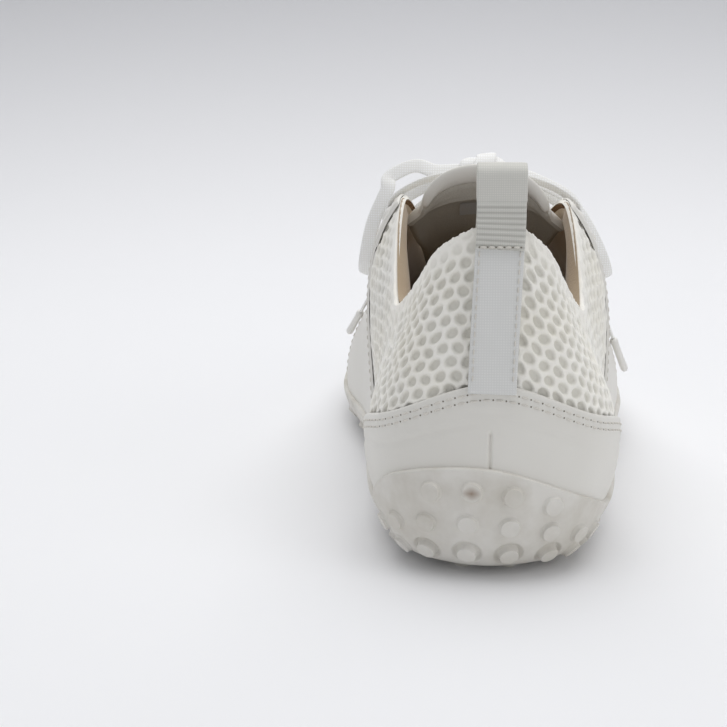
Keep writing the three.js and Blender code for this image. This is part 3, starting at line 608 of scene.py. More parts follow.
def place_camera():
    """Stands behind the heel, a little above the collar, looking forward and down."""
    camera = bpy.data.objects.new("camera", bpy.data.cameras.new("camera"))
    bpy.context.scene.collection.objects.link(camera)
    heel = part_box("net_quarter_lateral")[0].y
    camera.location = (-0.0118, heel - 0.376, 0.142)
    camera.rotation_euler = (math.radians(90 - 12), 0, math.radians(3.4))
    camera.data.sensor_width = 36.0
    camera.data.lens = 71.3
    camera.data.clip_start = 0.02
    bpy.context.scene.camera = camera


place_camera()


# ---- laces ----

FIRST_EYELET, LAST_EYELET = 4.35, 8.05
EYELET_BASE = 2 * GAP + PANEL + 0.1
BAR_BASE = EYELET_BASE + EYELET_THICKNESS + LACE_THICKNESS / 2 + 1
BAR_SAG = 1.6
BOW_STATION = 4.55
KNOT_HALF = np.array([8.2, 5.2, 3.6])
KNOT_LIFT = BAR_BASE - BAR_SAG + LACE_THICKNESS / 2 + GAP + 4 + 0.2
LACE_STEP = 1.0
BEND_REACH = 2
TWIST_REACH = 7


def eyelet_station(row):
    return FIRST_EYELET + row * (LAST_EYELET - FIRST_EYELET) / (EYELET_ROWS - 1)


def side_stop(k, down, lift):
    """A stop of a lace on the outside of the shoe, down from the throat edge, with its facing direction."""
    t = share_below_top(k, down)
    return np.concatenate([layer(k, t, lift), normal_at(k, t)])


def throat_stop(k, across, lift):
    """A stop of a lace over the throat, with its facing direction."""
    point = arch(k, across, lift, EYELET_INSET)
    return np.concatenate([point, unit(arch(k, across, lift + 1, EYELET_INSET) - point)])


def edge_over(k, across, under):
    """A stop of a lace on edge over the throat, with its lower edge at a height above the last."""
    return throat_stop(k, across, under + LACE_WIDTH / 2)


def edge_down(k, down, under):
    """A stop of a lace on edge down the side, with its lower edge at a height above the last."""
    return side_stop(k, down, under + LACE_WIDTH / 2)


BOW_LOOPS = {
    "lateral": [
        edge_over(4.54, -0.42, 3.9), edge_over(4.53, -0.75, 3.9),
        edge_down(4.53, 4, 3.1), edge_down(4.53, 15, 1.9), edge_down(4.56, 26, 1.7),
        edge_down(4.68, 30, 1.7),
        edge_down(4.84, 25, 1.7), edge_down(4.82, 14, 2.1), edge_down(4.76, 4, 2.7),
        edge_over(4.68, -0.72, 3.3), edge_over(4.64, -0.44, 3.1),
    ],
    "medial": [
        edge_over(4.52, 0.4, 5), edge_over(4.5, 0.55, 9.5), edge_over(4.47, 0.8, 10),
        edge_down(TURN - 4.45, 3, 6.7), edge_down(TURN - 4.42, 14, 3.5), edge_down(TURN - 4.48, 26, 1.9),
        edge_down(TURN - 4.64, 30, 1.7), edge_down(TURN - 4.82, 25, 1.7), edge_down(TURN - 4.8, 13, 2.3),
        edge_down(TURN - 4.74, 4, 3.5), edge_over(4.68, 0.72, 4), edge_over(4.62, 0.44, 3.5),
    ],
}
LACE_ENDS = {
    "lateral": [
        throat_stop(4.85, -0.3, 6.4), throat_stop(5.05, -0.62, 6.8),
        side_stop(5.25, 5, 6.6), side_stop(5.42, 16, 4.4), side_stop(5.55, 28, 2.6),
        side_stop(5.62, 40, 2.6), side_stop(5.66, 52, 2.6),
    ],
    "medial": [
        throat_stop(4.85, 0.3, 6.4), throat_stop(5.1, 0.62, 6.6),
        side_stop(TURN - 5.35, 5, 6), side_stop(TURN - 5.6, 15, 5), side_stop(TURN - 5.8, 26, 2.6),
        side_stop(TURN - 5.95, 37, 2.6), side_stop(TURN - 6.05, 47, 2.6),
    ],
}


def averaged(values, reach):
    """Each row averaged with its neighbours on both sides."""
    padded = np.pad(values, ((reach, reach), (0, 0)), mode="edge")
    window = np.ones(2 * reach + 1) / (2 * reach + 1)
    return np.stack([np.convolve(column, window, "valid") for column in padded.T], -1)


def lace_route(stops, on_edge):
    """Points and side directions of a lace along its stops, averaged so that it never kinks."""
    even = even_curve(stops, LACE_STEP)
    points = averaged(even[:, :3], BEND_REACH)
    facing = unit(averaged(even[:, 3:], TWIST_REACH))
    ahead = unit(np.gradient(points, axis=0))
    if not on_edge:
        return points, np.cross(facing, ahead)
    upright = facing - ahead * np.sum(facing * ahead, -1, keepdims=True)
    return points, averaged(upright, TWIST_REACH)


def length_of(points):
    return float(np.linalg.norm(np.diff(points, axis=0), axis=1).sum()) * MM


def lay_cord(piece, points, far_end, **extra):
    """Works out a lace's length and its points in metres, and keeps neither."""
    length_of(points)
    [tuple(p) for p in points * MM]


def aglet(name, tip, ahead):
    """A rolled nylon tip: a thin tube with a pressed waist and a rounded end."""
    profile = [(0.0, 0.0), (0.9, 0.0), (1.35, 0.35), (AGLET_RADIUS, 1.2), (1.3, 3.0), (1.3, 9.0),
               (1.4, 11.0), (1.35, 13.2), (0.9, AGLET_LENGTH), (0.0, AGLET_LENGTH)]
    ahead = ahead / np.linalg.norm(ahead)
    side = unit(np.cross(ahead, UP))
    return turned(name, NYLON_LOOK, profile, tip + ahead * GAP, ahead, side, 20)


def turned(name, material, profile, centre, axis, side, segments):
    """A round piece: profile holds radius and distance along the axis."""
    other = np.cross(axis, side)
    angle = np.arange(segments) / segments * 2 * math.pi
    spoke = np.cos(angle)[:, None] * side + np.sin(angle)[:, None] * other
    rings = np.array([[centre + axis * z + s * r for r, z in profile] for s in spoke])
    faces = grid_faces(segments, len(profile), close_columns=True)
    return make_piece(name, rings, faces, material)


def bow_half(side, way):
    """One loop and one free end of the bow; each starts inside the knot, which hides where it begins."""
    tucked = throat_stop(BOW_STATION, 0.14 * way, KNOT_LIFT)
    points, sides = lace_route([tucked, *BOW_LOOPS[side], tucked], True)
    from_end = np.minimum(np.arange(len(points)), np.arange(len(points))[::-1])
    pinch = 1 - 0.35 * (1 - smoothstep(from_end, 0, 9))
    loop = ribbon(f"lace_loop_{side}", LACE_LOOK, points, sides, LACE_WIDTH * pinch, LACE_THICKNESS)
    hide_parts(f"bow_loop_{side}")
    lay_cord(loop, points, "object")
    points, sides = lace_route([tucked, *LACE_ENDS[side]], False)
    tip = aglet(f"lace_tip_{side}", points[-1], points[-1] - points[-2])
    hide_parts(f"aglet_{side}")
    pinch = 1 - 0.62 * smoothstep(np.arange(len(points)), len(points) - 7, len(points) - 1)
    end = ribbon(f"lace_tail_{side}", LACE_LOOK, points, sides, LACE_WIDTH * pinch, LACE_THICKNESS)
    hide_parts(f"lace_end_{side}")
    lay_cord(end, points, "fitting", with_pieces=[tip])


def lace_bars():
    """A bar of lace from eyelet to eyelet in each row, sagging a little in the middle."""
    for row in range(EYELET_ROWS):
        k = eyelet_station(row)
        across = np.linspace(-1, 1, 60)
        dip = smoothstep(np.abs(across), 0.9, 1.0) * 1.3
        distance = BAR_BASE - BAR_SAG * (1 - across**2) ** 2 - dip
        points = arch(k, across, distance, EYELET_INSET)
        sides = arch(k + 0.1, across, distance, EYELET_INSET) - points
        width = LACE_WIDTH * (1 - 0.4 * smoothstep(np.abs(across), 0.78, 1.0))
        bar = ribbon(f"lace_over_{row + 1}", LACE_LOOK, points, sides, width, LACE_THICKNESS)
        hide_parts(f"lace_bar_{row + 1}")


def knot():
    """The tied centre: a lump of crossed lace with one turn of lace strapped over it."""
    centre = throat_stop(BOW_STATION, 0, KNOT_LIFT)[:3]
    angle = np.linspace(0, 2 * math.pi, 48, endpoint=False)
    rings = []
    for u in np.linspace(-1, 1, 25):
        radius = math.sqrt(max(0.0, 1 - abs(u) ** 2.6))
        fold = 1 + 0.1 * np.cos(3 * angle + 4 * u)
        ring = np.stack([np.full(48, u), radius * fold * np.cos(angle), radius * fold * np.sin(angle)], -1)
        rings.append(centre + KNOT_HALF * ring)
    lump = make_piece("lace_knot_lump", rings, grid_faces(25, 48, close_rows=True), LACE_LOOK)
    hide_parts("lace_knot")
    turn = np.linspace(0, 2 * math.pi, 49)
    points = centre + np.stack([1.2 * np.sin(turn), 5.7 * np.cos(turn), 4.1 * np.sin(turn)], -1)
    strap = ribbon("lace_knot_strap", LACE_LOOK, points, np.tile([1.0, 0.1, 0.1], (49, 1)), 6.5, 1.1)


bow_half("lateral", -1)
bow_half("medial", 1)
lace_bars()
knot()


# ---- stitches ----

STITCH_SHARE = 0.68
NEEDLE_RADIUS = 0.26
STITCH_SIDES = 6


def stitch_line(name, points, normals, pitch, holes=True, radius=0.3):
    """A row of stitches: a short sunk thread on each step, with dark discs of painted shade for the needle's
    holes between them.
    """
    even = even_curve(np.concatenate([points, normals], -1), pitch)
    points, normals = even[:, :3], unit(even[:, 3:])
    angle = np.arange(STITCH_SIDES) / STITCH_SIDES * 2 * math.pi
    shape, faces = [], []
    ring_at = np.linspace(-1, 1, 7)
    for i in range(len(points) - 1):
        ahead = points[i + 1] - points[i]
        span = np.linalg.norm(ahead) * STITCH_SHARE / 2
        ahead = unit(ahead)
        normal = unit(normals[i] + normals[i + 1])
        side = np.cross(ahead, normal)
        middle = (points[i] + points[i + 1]) / 2
        start = len(shape)
        for u in ring_at:
            size = radius * math.sqrt(max(0.05, 1 - u**4))
            centre = middle + ahead * span * u + normal * (0.12 - 0.3 * u**4)
            shape.extend(centre + size * (math.cos(a) * side + 0.8 * math.sin(a) * normal) for a in angle)
        faces.extend(grid_faces(7, STITCH_SIDES, start, close_rows=True))
    rows = [make_piece(name, shape, faces, THREAD_LOOK)]
    if holes:
        rows.append(needle_hole_shade_discs(name + "_hole_shade", points, normals, angle))
    return rows


def needle_hole_shade_discs(name, points, normals, angle):
    """Small dark discs of painted shade where the needle went through."""
    dots, faces = [], []
    for point, normal in zip(points, normals):
        side = unit(np.cross(normal, UP) + 1e-6)
        other = np.cross(normal, side)
        faces.append(range(len(dots), len(dots) + STITCH_SIDES))
        dots.extend(point + normal * 0.1 + NEEDLE_RADIUS * (math.cos(a) * side + math.sin(a) * other)
                    for a in angle)
    return make_piece(name, dots, faces, NEEDLE_HOLE_SHADE, smooth=False)


def stitches_on_last(name, k, t, depth, pitch, **options):
    return stitch_line(name, layer(k, t, np.full(k.shape, depth)), normal_at(k, t), pitch, **options)


# ---- sole ----

HEEL_LUG_ROWS = [(0.35, -1.6, 1.6, 8), (0.64, -1.47, 1.47, 8), (0.87, -0.56, 0.62, 4)]
SIDE_LUG_ROW = (0.42, 2.3, TURN - 2.3, 23)
LUG_SIDES = 20
CUP_ROWS = 84
DISH_RADIUS = 4.2
DISH_DEPTH = 0.85
DISH_EDGE = 0.45
STAIN_AT = (-0.17, 0.87)


def wall_lugs():
    """Each lug on the wall of the cup: its station, its height share, and whether it stands in a dish."""
    places = []
    for share, start, end, count in [*HEEL_LUG_ROWS, SIDE_LUG_ROW]:
        for k in np.linspace(start, end, count):
            dished = share < 0.4 and abs(k) < 0.8
            places.append((k, share * float(rim_share(k)), dished))
    return places


def ground_lugs():
    """Centres of the lugs under the sole, on a triangular grid from the middle of the heel."""
    ring = ground_ring(np.arange(0, TURN, 0.1))[:, :2]
    out = outward(np.arange(0, TURN, 0.1))[:, :2]
    row_step = LUG_PITCH * math.sin(math.pi / 3)
    centres = []
    for row in range(-4, 24):
        for column in range(-5, 6):
            centre = np.array([(column + abs(row % 2) / 2) * LUG_PITCH, row * row_step])
            way = ring - centre
            nearest = np.argmin(np.linalg.norm(way, axis=1))
            inside = np.sign(way[nearest] @ out[nearest]) * np.linalg.norm(way[nearest])
            if inside >= LUG_RADIUS * 0.6:
                centres.append(centre)
    return centres


def lug_shape(points, faces, centre, axis, height, radius, sunk=0.0):
    """Adds a moulded lug: a soft foot at the sunk depth, a straight side and a flat top with a crisp edge."""
    profile = [(1.3, -1.0 - sunk), (1.16, 0.02 - sunk), (1.06, 0.16 - sunk), (1.02, 0.4 - sunk),
               (1.0, height - 0.28), (0.985, height - 0.1), (0.94, height - 0.02), (0.88, height),
               (0.8, height), (0.0, height)]
    side = unit(np.cross(axis, [0.2, 1.0, 0.1]))
    other = np.cross(axis, side)
    start = len(points)
    for angle in np.arange(LUG_SIDES) / LUG_SIDES * 2 * math.pi:
        spoke = math.cos(angle) * side + math.sin(angle) * other
        points.extend(centre + axis * z + spoke * r * radius for r, z in profile)
    faces.extend(grid_faces(LUG_SIDES, len(profile), start, close_columns=True))


def stained(points):
    """How deep a small brown stain lies at each point: it sits on one lug of the top row."""
    station, share = STAIN_AT
    spot = layer(station, share * rim_share(station), GAP + RUBBER + WRAP_LUG_HEIGHT)
    away = np.linalg.norm((np.asarray(points) - spot) * (1, 0.5, 1.6), axis=-1)
    return 0.75 * (1 - smoothstep(away, 0.9, 2.9))


def bottom_faces(ring, upwards):
    """Quads across the shoe between both halves of a ring of point numbers that starts at the heel."""
    count = len(ring)
    for i in range(count // 2):
        quad = (ring[i], ring[(i + 1) % count], ring[(count - i - 1) % count], ring[(count - i) % count])
        quad = tuple(dict.fromkeys(quad))
        yield quad if upwards else quad[::-1]


def cup():
    """The rubber cup with its lip, its floor inside and out, and the dishes round some lugs."""
    dense = np.linspace(-3, 3, 420, endpoint=False)
    k = np.concatenate([dense, np.linspace(3, TURN - 3, 240, endpoint=False)])
    rim = rim_share(k)[:, None]
    lip = [(0.85, 0.25), (0.6, 0.38), (0.3, 0.35), (0.08, 0.15), (0.0, -0.2)]
    inner = np.array([0.8, 0.5, 0.2, 0.0])
    t = np.concatenate([np.linspace(0, 1, CUP_ROWS) * rim, np.repeat(rim, len(lip), 1), rim * inner], 1)
    depth = np.concatenate([np.full(CUP_ROWS, GAP + RUBBER), [GAP + RUBBER * share for share, _ in lip],
                            np.full(len(inner), GAP)])
    rise = np.concatenate([np.zeros(CUP_ROWS), [up for _, up in lip], np.zeros(len(inner))])
    wide = np.repeat(k[:, None], t.shape[1], 1)
    offset = np.broadcast_to(depth, t.shape).copy()
    skin = layer(wide, t, np.full(t.shape, GAP + RUBBER))
    for station, share, dished in wall_lugs():
        if dished:
            away = np.linalg.norm(skin - layer(station, share, GAP + RUBBER), axis=-1)
            dish = 1 - smoothstep(away, DISH_RADIUS - DISH_EDGE, DISH_RADIUS)
            offset[:, :CUP_ROWS] -= DISH_DEPTH * dish[:, :CUP_ROWS]
    points = layer(wide, t, offset) + UP * rise[None, :, None]
    columns, rows = t.shape
    faces = list(grid_faces(columns, rows, close_columns=True))
    heel_first = np.argsort(np.mod(k, TURN)) * rows
    faces.extend(bottom_faces(heel_first, False))
    faces.extend(bottom_faces(heel_first + rows - 1, True))
    piece = make_piece("rubber_cup", points, faces, RUBBER_LOOK, attributes={"stain": stained(points)})
    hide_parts("outsole")


def lugs():
    """The lugs moulded on the wall of the cup and under its floor."""
    points, faces = [], []
    for station, share, dished in wall_lugs():
        lug_shape(points, faces, layer(station, share, GAP + RUBBER), normal_at(station, share),
                  WRAP_LUG_HEIGHT, LUG_RADIUS, DISH_DEPTH if dished else 0.0)
    for x, y in ground_lugs():
        centre = sprung(np.array([x, y, LUG_HEIGHT]))
        lug_shape(points, faces, centre, -UP, LUG_HEIGHT, LUG_RADIUS)
    piece = make_piece("rubber_lugs", points, faces, RUBBER_LOOK, attributes={"stain": stained(points)})


def insole():
    """The loose sock liner: a foam plate with a rounded edge and a cup worn in at the heel."""
    columns = 160
    k = np.linspace(0, TURN, columns, endpoint=False)
    bottom = FLOOR + BOARD + GAP
    edge = layer(k, share_at_height(k, bottom), np.full(k.shape, -(NET + GAP + 0.5)))
    edge[:, 2] = sprung(edge * (1, 1, 0))[:, 2]
    spine = edge.copy()
    spine[:, 0] = 0.35 * edge[:, 0]
    rings = []
    for inset, z in [(1, 0), (0, 0), (0, 0.6), (0.004, 1), (0.03, 1), (0.2, 0.95), (0.5, 0.9), (1, 0.88)]:
        ring = edge * (1 - inset) + spine * inset
        rings.append(ring + UP * (bottom + INSOLE * z))
    size = len(rings)
    faces = list(grid_faces(columns, size, close_columns=True))
    heel_first = np.arange(columns) * size
    faces.extend(bottom_faces(heel_first, False))
    faces.extend(bottom_faces(heel_first + size - 1, True))
    piece = make_piece("insole_foam", np.stack(rings, 1), faces, INSOLE_LOOK, "sock_liner")
    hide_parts("insole")


cup()
lugs()
insole()


# ---- net upper ----

CELL_PITCH = 4.8
ROW_PITCH = 3.9
CELL_RADIUS = 1.72
CELL_DEPTH = 0.95
NET_HEIGHT = 95
REAR_END, QUARTER_END = 2.9, 6.3
REAR_LENGTH, FRONT_LENGTH, VAMP_LENGTH = 105, 110, 230


def cell_wall(along, up):
    """1 on the raised yarn and 0 in the round cells of a staggered pattern."""
    nearest = np.full(along.shape, 9.0)
    base = np.floor(up / ROW_PITCH)
    for row in (base - 1, base, base + 1, base + 2):
        shift = np.mod(row, 2) * CELL_PITCH / 2
        column = np.round((along - shift) / CELL_PITCH)
        distance = np.hypot(along - shift - column * CELL_PITCH, (up - row * ROW_PITCH) * 1.08)
        nearest = np.minimum(nearest, distance)
    return smoothstep(nearest, CELL_RADIUS - 0.42, CELL_RADIUS + 0.3)


def net(name, node, k, origin, step):
    """One section of net: cells sunk in the skin, counted from the column at a share of its width."""
    low = share_at_height(k, at_station(k, RIM) - NET_TUCK)
    count = int(NET_HEIGHT / step)
    shares = np.linspace(0, 1, count)
    t = low[:, None] + (2 - low)[:, None] * shares
    wide = np.repeat(k[:, None], count, 1)
    skin = layer(wide, t, np.zeros(wide.shape))
    run = travelled(skin, 0)
    along = run - run[int(origin * (len(k) - 1))]
    up = travelled(skin, 1)
    below_edge = up[:, -1:] - up
    wall = cell_wall(along + 0.35 * np.sin(up * 0.7 + along * 0.13), up + 0.3 * np.sin(along * 0.61))
    fade = smoothstep(below_edge, 1.5, 9) * 0.75 + 0.25
    fade = np.where(below_edge < 1.2, 0, fade)
    wobble = 0.2 * np.sin(along * 0.33 + 1.7) * np.sin(up * 0.29) + 0.12 * np.sin(along * 0.87 + up * 0.41)
    depth = -CELL_DEPTH * (1 - wall) * fade + wobble
    points = layer(wide, t, depth)
    edge = np.stack([layer(k, np.full(k.shape, 2.0), np.full(k.shape, d)) for d in (-0.2, -NET)], 1)
    fray = 0.25 + 0.16 * np.sin(along[:, -1:] * 2.1) + 0.12 * np.sin(along[:, -1:] * 5.3 + 1)
    edge[:, 0] += UP * fray
    points = np.concatenate([points, edge], 1)
    # Painted shade: 0 greys the bottom of each hollow and 1 leaves the raised yarn; it fades with the
    # hollows' depth near the top edge.
    cell_shade = np.concatenate([1 - (1 - wall) * fade, np.ones((len(k), 2))], 1)
    piece = make_piece(name, points, grid_faces(len(k), count + 2), NET_LOOK, attributes={"cell_shade": cell_shade})
    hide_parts(node)


def net_sections():
    """Both quarters, finest round the heel, and the vamp between them."""
    step = 0.5
    rear = np.linspace(0, REAR_END, int(REAR_LENGTH / step))
    front = np.linspace(REAR_END, QUARTER_END, int(FRONT_LENGTH / (step * 1.4)))[1:]
    lateral = np.concatenate([rear, front])
    net("net_side_lateral", "net_quarter_lateral", lateral, 0.0, step)
    net("net_side_medial", "net_quarter_medial", TURN - lateral[::-1], 1.0, step)
    vamp = np.linspace(QUARTER_END, TURN - QUARTER_END, int(VAMP_LENGTH / (step * 1.4)))
    net("net_toe", "net_vamp", vamp, 0.5, step * 1.2)


net_sections()


# ---- lining and foam ----

FOAM_END = 8.6


def collar_share(k):
    """1 along the collar and 0 along the throat, where the foam's cut edge shows."""
    return 1 - smoothstep(from_heel(k), 3.95, 4.15)


def soft_edge(k):
    """How far the padded lining stands over the cut edge of the net at the front of the collar."""
    return 1.5 * smoothstep(from_heel(k), 2.2, 3.2) * collar_share(k)


def lining(name, node, k):
    """The lining from the board to the top edge, padded below the collar."""
    low = share_at_height(k, FLOOR + BOARD + GAP)
    rows = 46
    t = low[:, None] + (2 - low)[:, None] * np.linspace(0, 1, rows)
    wide = np.repeat(k[:, None], rows, 1)
    skin = layer(wide, t, np.zeros(wide.shape))
    below = edge_distance(skin, "t")
    behind = 1 - smoothstep(from_heel(wide), 3.2, 4.2)
    padding = 1.3 * smoothstep(below, 2, 12) * (1 - smoothstep(below, 26, 40)) * behind
    depth = lining_face(wide) - LINING * smoothstep(below, 0, 3) - padding
    rounded = 1 - smoothstep(below, 0, 5)
    swollen = smoothstep(below, 0.8, 3.5) * (1 - smoothstep(below, 14, 26))
    depth = depth + (1.1 + 0.5 * soft_edge(wide)) * rounded - 1.5 * soft_edge(wide) * swollen
    roll = soft_edge(wide) * np.exp(-(((below - 1.3) / 1.5) ** 2))
    points = layer(wide, t, depth) + UP * roll[..., None]
    piece = make_piece(name, points, grid_faces(len(k), rows)[:, ::-1], LINING_LOOK)
    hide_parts(node)


def foam(name, node, k):
    """Padding foam, whose raw brown edge shows between net and lining along collar and throat."""
    sunk = 3 * collar_share(k)
    rows = [(share_below_top(k, 6), -(NET + 0.1)), (share_below_top(k, 0.4 + sunk), -(NET + 0.1)),
            (share_below_top(k, 0.1 + sunk), -(NET + 0.6)), (share_below_top(k, 0.3 + sunk), lining_face(k)),
            (share_below_top(k, 6), lining_face(k))]
    points = np.stack([layer(k, t, np.broadcast_to(depth, k.shape)) for t, depth in rows], 1)
    piece = make_piece(name, points, grid_faces(len(k), len(rows)), FOAM_LOOK)
    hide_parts(node)


lining("lining_side_lateral", "lining_quarter_lateral", np.linspace(0, QUARTER_END, 150))
lining("lining_side_medial", "lining_quarter_medial", np.linspace(TURN - QUARTER_END, TURN, 150))
lining("lining_toe", "lining_vamp", np.linspace(QUARTER_END, TURN - QUARTER_END, 120))
foam("foam_edge_lateral", "collar_foam_lateral", np.linspace(0, FOAM_END, 200))
foam("foam_edge_medial", "collar_foam_medial", np.linspace(TURN - FOAM_END, TURN, 200))


# ---- outer panels ----

COUNTER_REACH = 3.3
COUNTER_SHOULDER = 45.0
COUNTER_PEAK_REACH = 0.9
COUNTER_END = 23.0
DART_BOTTOM, DART_TOP = 30, 42.5
OVERLAY = PANEL * 0.85


def counter_top(k, below=0.0):
    """The top edge of the heel counter, or a line below it: shoulders with a peak in the middle."""
    drop = np.minimum(1, np.abs(k) / COUNTER_REACH) ** 3
    peak = (COUNTER_HEIGHT - COUNTER_SHOULDER) * np.exp(-((k / COUNTER_PEAK_REACH) ** 2))
    return share_at_height(k, COUNTER_SHOULDER + (COUNTER_END - COUNTER_SHOULDER) * drop + peak - below)


def counter_relief(k, t, points):
    """A closed dart in the middle, puckers above it, and the step of the turned edge."""
    across = points[..., 0]
    height = points[..., 2]
    dart = -0.75 * np.exp(-((across / 0.45) ** 2)) * smoothstep(height, DART_BOTTOM - 10, DART_BOTTOM)
    dart = dart * (1 - smoothstep(height, DART_TOP, DART_TOP + 2))
    pucker = 0.22 * np.exp(-((across / 5) ** 2)) * np.cos(height * 1.1)
    pucker = pucker * smoothstep(height, 41, 45) * (1 - smoothstep(height, 48, 52))
    below = (counter_top(k) - t) * 40
    return dart + pucker - 0.28 * np.exp(-(((below - 7.2) / 0.8) ** 2))


def heel_counter():
    """Two halves joined by a short closed dart, with a turned top edge under two rows of stitches."""
    k = np.linspace(-COUNTER_REACH, COUNTER_REACH, 420)
    k = np.sign(k) * np.abs(k / COUNTER_REACH) ** 1.25 * COUNTER_REACH
    piece = panel("counter_panel", LEATHER_LOOK, k, lambda k: rim_share(k, -1.5), counter_top, 60, GAP, PANEL,
                  edge=0.9, sides="lrt", relief=counter_relief)
    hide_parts("heel_counter")
    line = np.linspace(-COUNTER_REACH + 0.1, COUNTER_REACH - 0.1, 120)
    for i, below in enumerate((2.2, 4.1)):
        row_height = counter_top(line, below)
        for row in stitches_on_last(f"counter_stitches_{i + 1}", line, row_height, GAP + PANEL, 3.5):
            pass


def toe_rand():
    """A low panel round the toe with one row of stitches."""
    k = np.linspace(6.6, TURN - 6.6, 260)
    piece = panel("rand_panel", LEATHER_LOOK, k, lambda k: rim_share(k, -1.5), lambda k: rim_share(k, 9), 16,
                  GAP, PANEL, sides="lrt")
    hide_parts("toe_rand")
    line = np.linspace(6.65, TURN - 6.65, 120)
    for row in stitches_on_last("rand_stitches", line, rim_share(line, 7), GAP + PANEL, 3.0, holes=False):
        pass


def side_panels(side, place):
    """The eyestay along the throat and the overlay that ties it to the sole."""
    def ordered(start, end, count):
        return np.sort(place(np.linspace(start, end, count)))

    k = ordered(3.9, 8.4, 200)
    piece = panel(f"eyestay_panel_{side}", LEATHER_LOOK, k, lambda k: share_below_top(k, EYESTAY_WIDTH),
                  lambda k: np.full(k.shape, 2.0), 20, GAP, PANEL)
    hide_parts(f"eyestay_{side}")
    line = ordered(3.98, 8.32, 80)
    for i, down in enumerate((2.2, EYESTAY_WIDTH - 2.2)):
        rows = stitches_on_last(f"eyestay_stitches_{side}_{i + 1}", line, share_below_top(line, down),
                                GAP + PANEL, 3.0, holes=False)
    k = ordered(4.2, 6.3, 110)
    piece = panel(f"overlay_panel_{side}", LEATHER_LOOK, k, lambda k: rim_share(k, -1.5),
                  lambda k: share_below_top(k, EYESTAY_WIDTH - 1), 40, GAP, OVERLAY)
    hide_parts(f"side_overlay_{side}")
    height = np.linspace(0.06, 0.9, 40)
    for i, station in enumerate((4.26, 6.24)):
        k = place(np.full(40, station))
        t = rim_share(k) + (share_below_top(k, EYESTAY_WIDTH) - rim_share(k)) * height
        rows = stitches_on_last(f"overlay_stitches_{side}_{i + 1}", k, t, GAP + OVERLAY, 3.0, holes=False)


heel_counter()
toe_rand()
side_panels("lateral", lambda k: k)
side_panels("medial", lambda k: TURN - k)


def eyelets():
    """Moulded rings with a rounded inner lip, pressed into the eyestays."""
    hole, rim, high = EYELET_HOLE, EYELET_RADIUS, EYELET_THICKNESS
    profile = [(hole, -0.8), (hole, high - 0.3), (hole + 0.25, high), (rim - 0.7, high),
               (rim - 0.15, high - 0.3), (rim, 0.0), (rim, -0.2)]
    for row in range(EYELET_ROWS):
        for side, k in (("lateral", eyelet_station(row)), ("medial", TURN - eyelet_station(row))):
            t = share_below_top(k, EYELET_INSET)
            normal = normal_at(k, t)
            across = unit(np.cross(normal, [0.0, 1.0, 0.3]))
            ring = turned(f"eyelet_ring_{side}_{row + 1}", NYLON_LOOK, profile, layer(k, t, EYELET_BASE),
                          normal, across, 28)
            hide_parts(f"eyelet_{side}_{row + 1}")


eyelets()


# ---- tongue ----

TONGUE_FACE = -(NET + LINING + 3 * GAP + STIFFENER + 0.2)
TONGUE_BACK = TONGUE_FACE - TONGUE
TONGUE_MIDDLE = (TONGUE_FACE + TONGUE_BACK) / 2
CHANNEL_PITCH = 14
TONGUE_FRONT = 8.3
TONGUE_FOLD = 4.1
TONGUE_RISE = np.array([0.0, -0.6, 0.8])


def tongue_points(run, across, distance):
    """Points of the tongue: run below 0 lies on the arch in stations, above 0 stands free in millimetres."""
    run, across, distance = np.broadcast_arrays(*(np.asarray(x, float) for x in (run, across, distance)))
    base = arch(TONGUE_FOLD - np.minimum(run, 0), across, distance)
    free = np.maximum(run, 0)
    lift = 2.5 * across**2 * smoothstep(free, 0, 3) + free * (1 - 0.35 * across**4)
    point = base + TONGUE_RISE * lift[..., None]
    point[..., 0] *= 1 - smoothstep(free, 0, 3) * 0.14 - 0.008 * free
    return point


def tongue_pad():
    """The padded tongue: a face with stitched channels and an inner lining, both with soft edges."""
    run = np.concatenate([np.linspace(TONGUE_FOLD - TONGUE_FRONT, 0, 90),
                          np.linspace(0, TONGUE_TOP - BINDING, 14)[1:]])
    across = 2 * edged(40, 0.03) - 1
    run, across = np.meshgrid(run, across, indexing="ij")
    skin = tongue_points(run, across, TONGUE_FACE)
    near = np.clip(edge_distance(skin) / 2.2, 0, 1)
    swell = np.sqrt(1 - (1 - near) ** 2)
    groove = np.mod(travelled(skin, 0), CHANNEL_PITCH) - CHANNEL_PITCH / 2
    channels = 0.35 * np.exp(-(groove**2) / 1.2)
    faces = grid_faces(*run.shape)
    outer = tongue_points(run, across, TONGUE_MIDDLE + TONGUE / 2 * swell - channels * swell)
    inner = tongue_points(run, across, TONGUE_MIDDLE - TONGUE / 2 * swell)
    face = make_piece("tongue_face", outer, faces[:, ::-1], LEATHER_LOOK, None)
    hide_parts("tongue_body", "tongue_top")
    bend_at_fold(face)
    back = make_piece("tongue_inside", inner, faces, TONGUE_CLOTH, None)
    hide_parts("tongue_lining")
    bend_at_fold(back)


def bend_at_fold(piece):
    """Works out the point of the tongue's fold and bakes a piece's placement into its mesh."""
    fold = tongue_points(0.0, 0.0, TONGUE_MIDDLE) * MM
    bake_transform(piece)


def tongue_edge():
    """The binding: a band folded over the tongue's top edge, closing to a point at both sides."""
    rings = []
    for across in 2 * edged(50, 0.05) - 1:
        closing = math.sqrt(1 - (1 - min(1, (1 - abs(across)) / 0.09)) ** 2)
        ring = []
        for angle in np.linspace(-0.5 * math.pi, 1.5 * math.pi, 16, endpoint=False):
            reach = 1.9 if math.sin(angle) > 0 else 4.2
            run = TONGUE_TOP - 1.9 + reach * math.sin(angle) * closing
            depth = TONGUE_MIDDLE + (TONGUE / 2 + 0.25) * math.cos(angle) * closing
            ring.append(tongue_points(run, across, depth))
        rings.append(ring)
    faces = grid_faces(len(rings), 16, close_rows=True)
    binding = make_piece("tongue_bound_edge", rings, faces, LEATHER_LOOK, "tongue_end")
    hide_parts("tongue_binding")


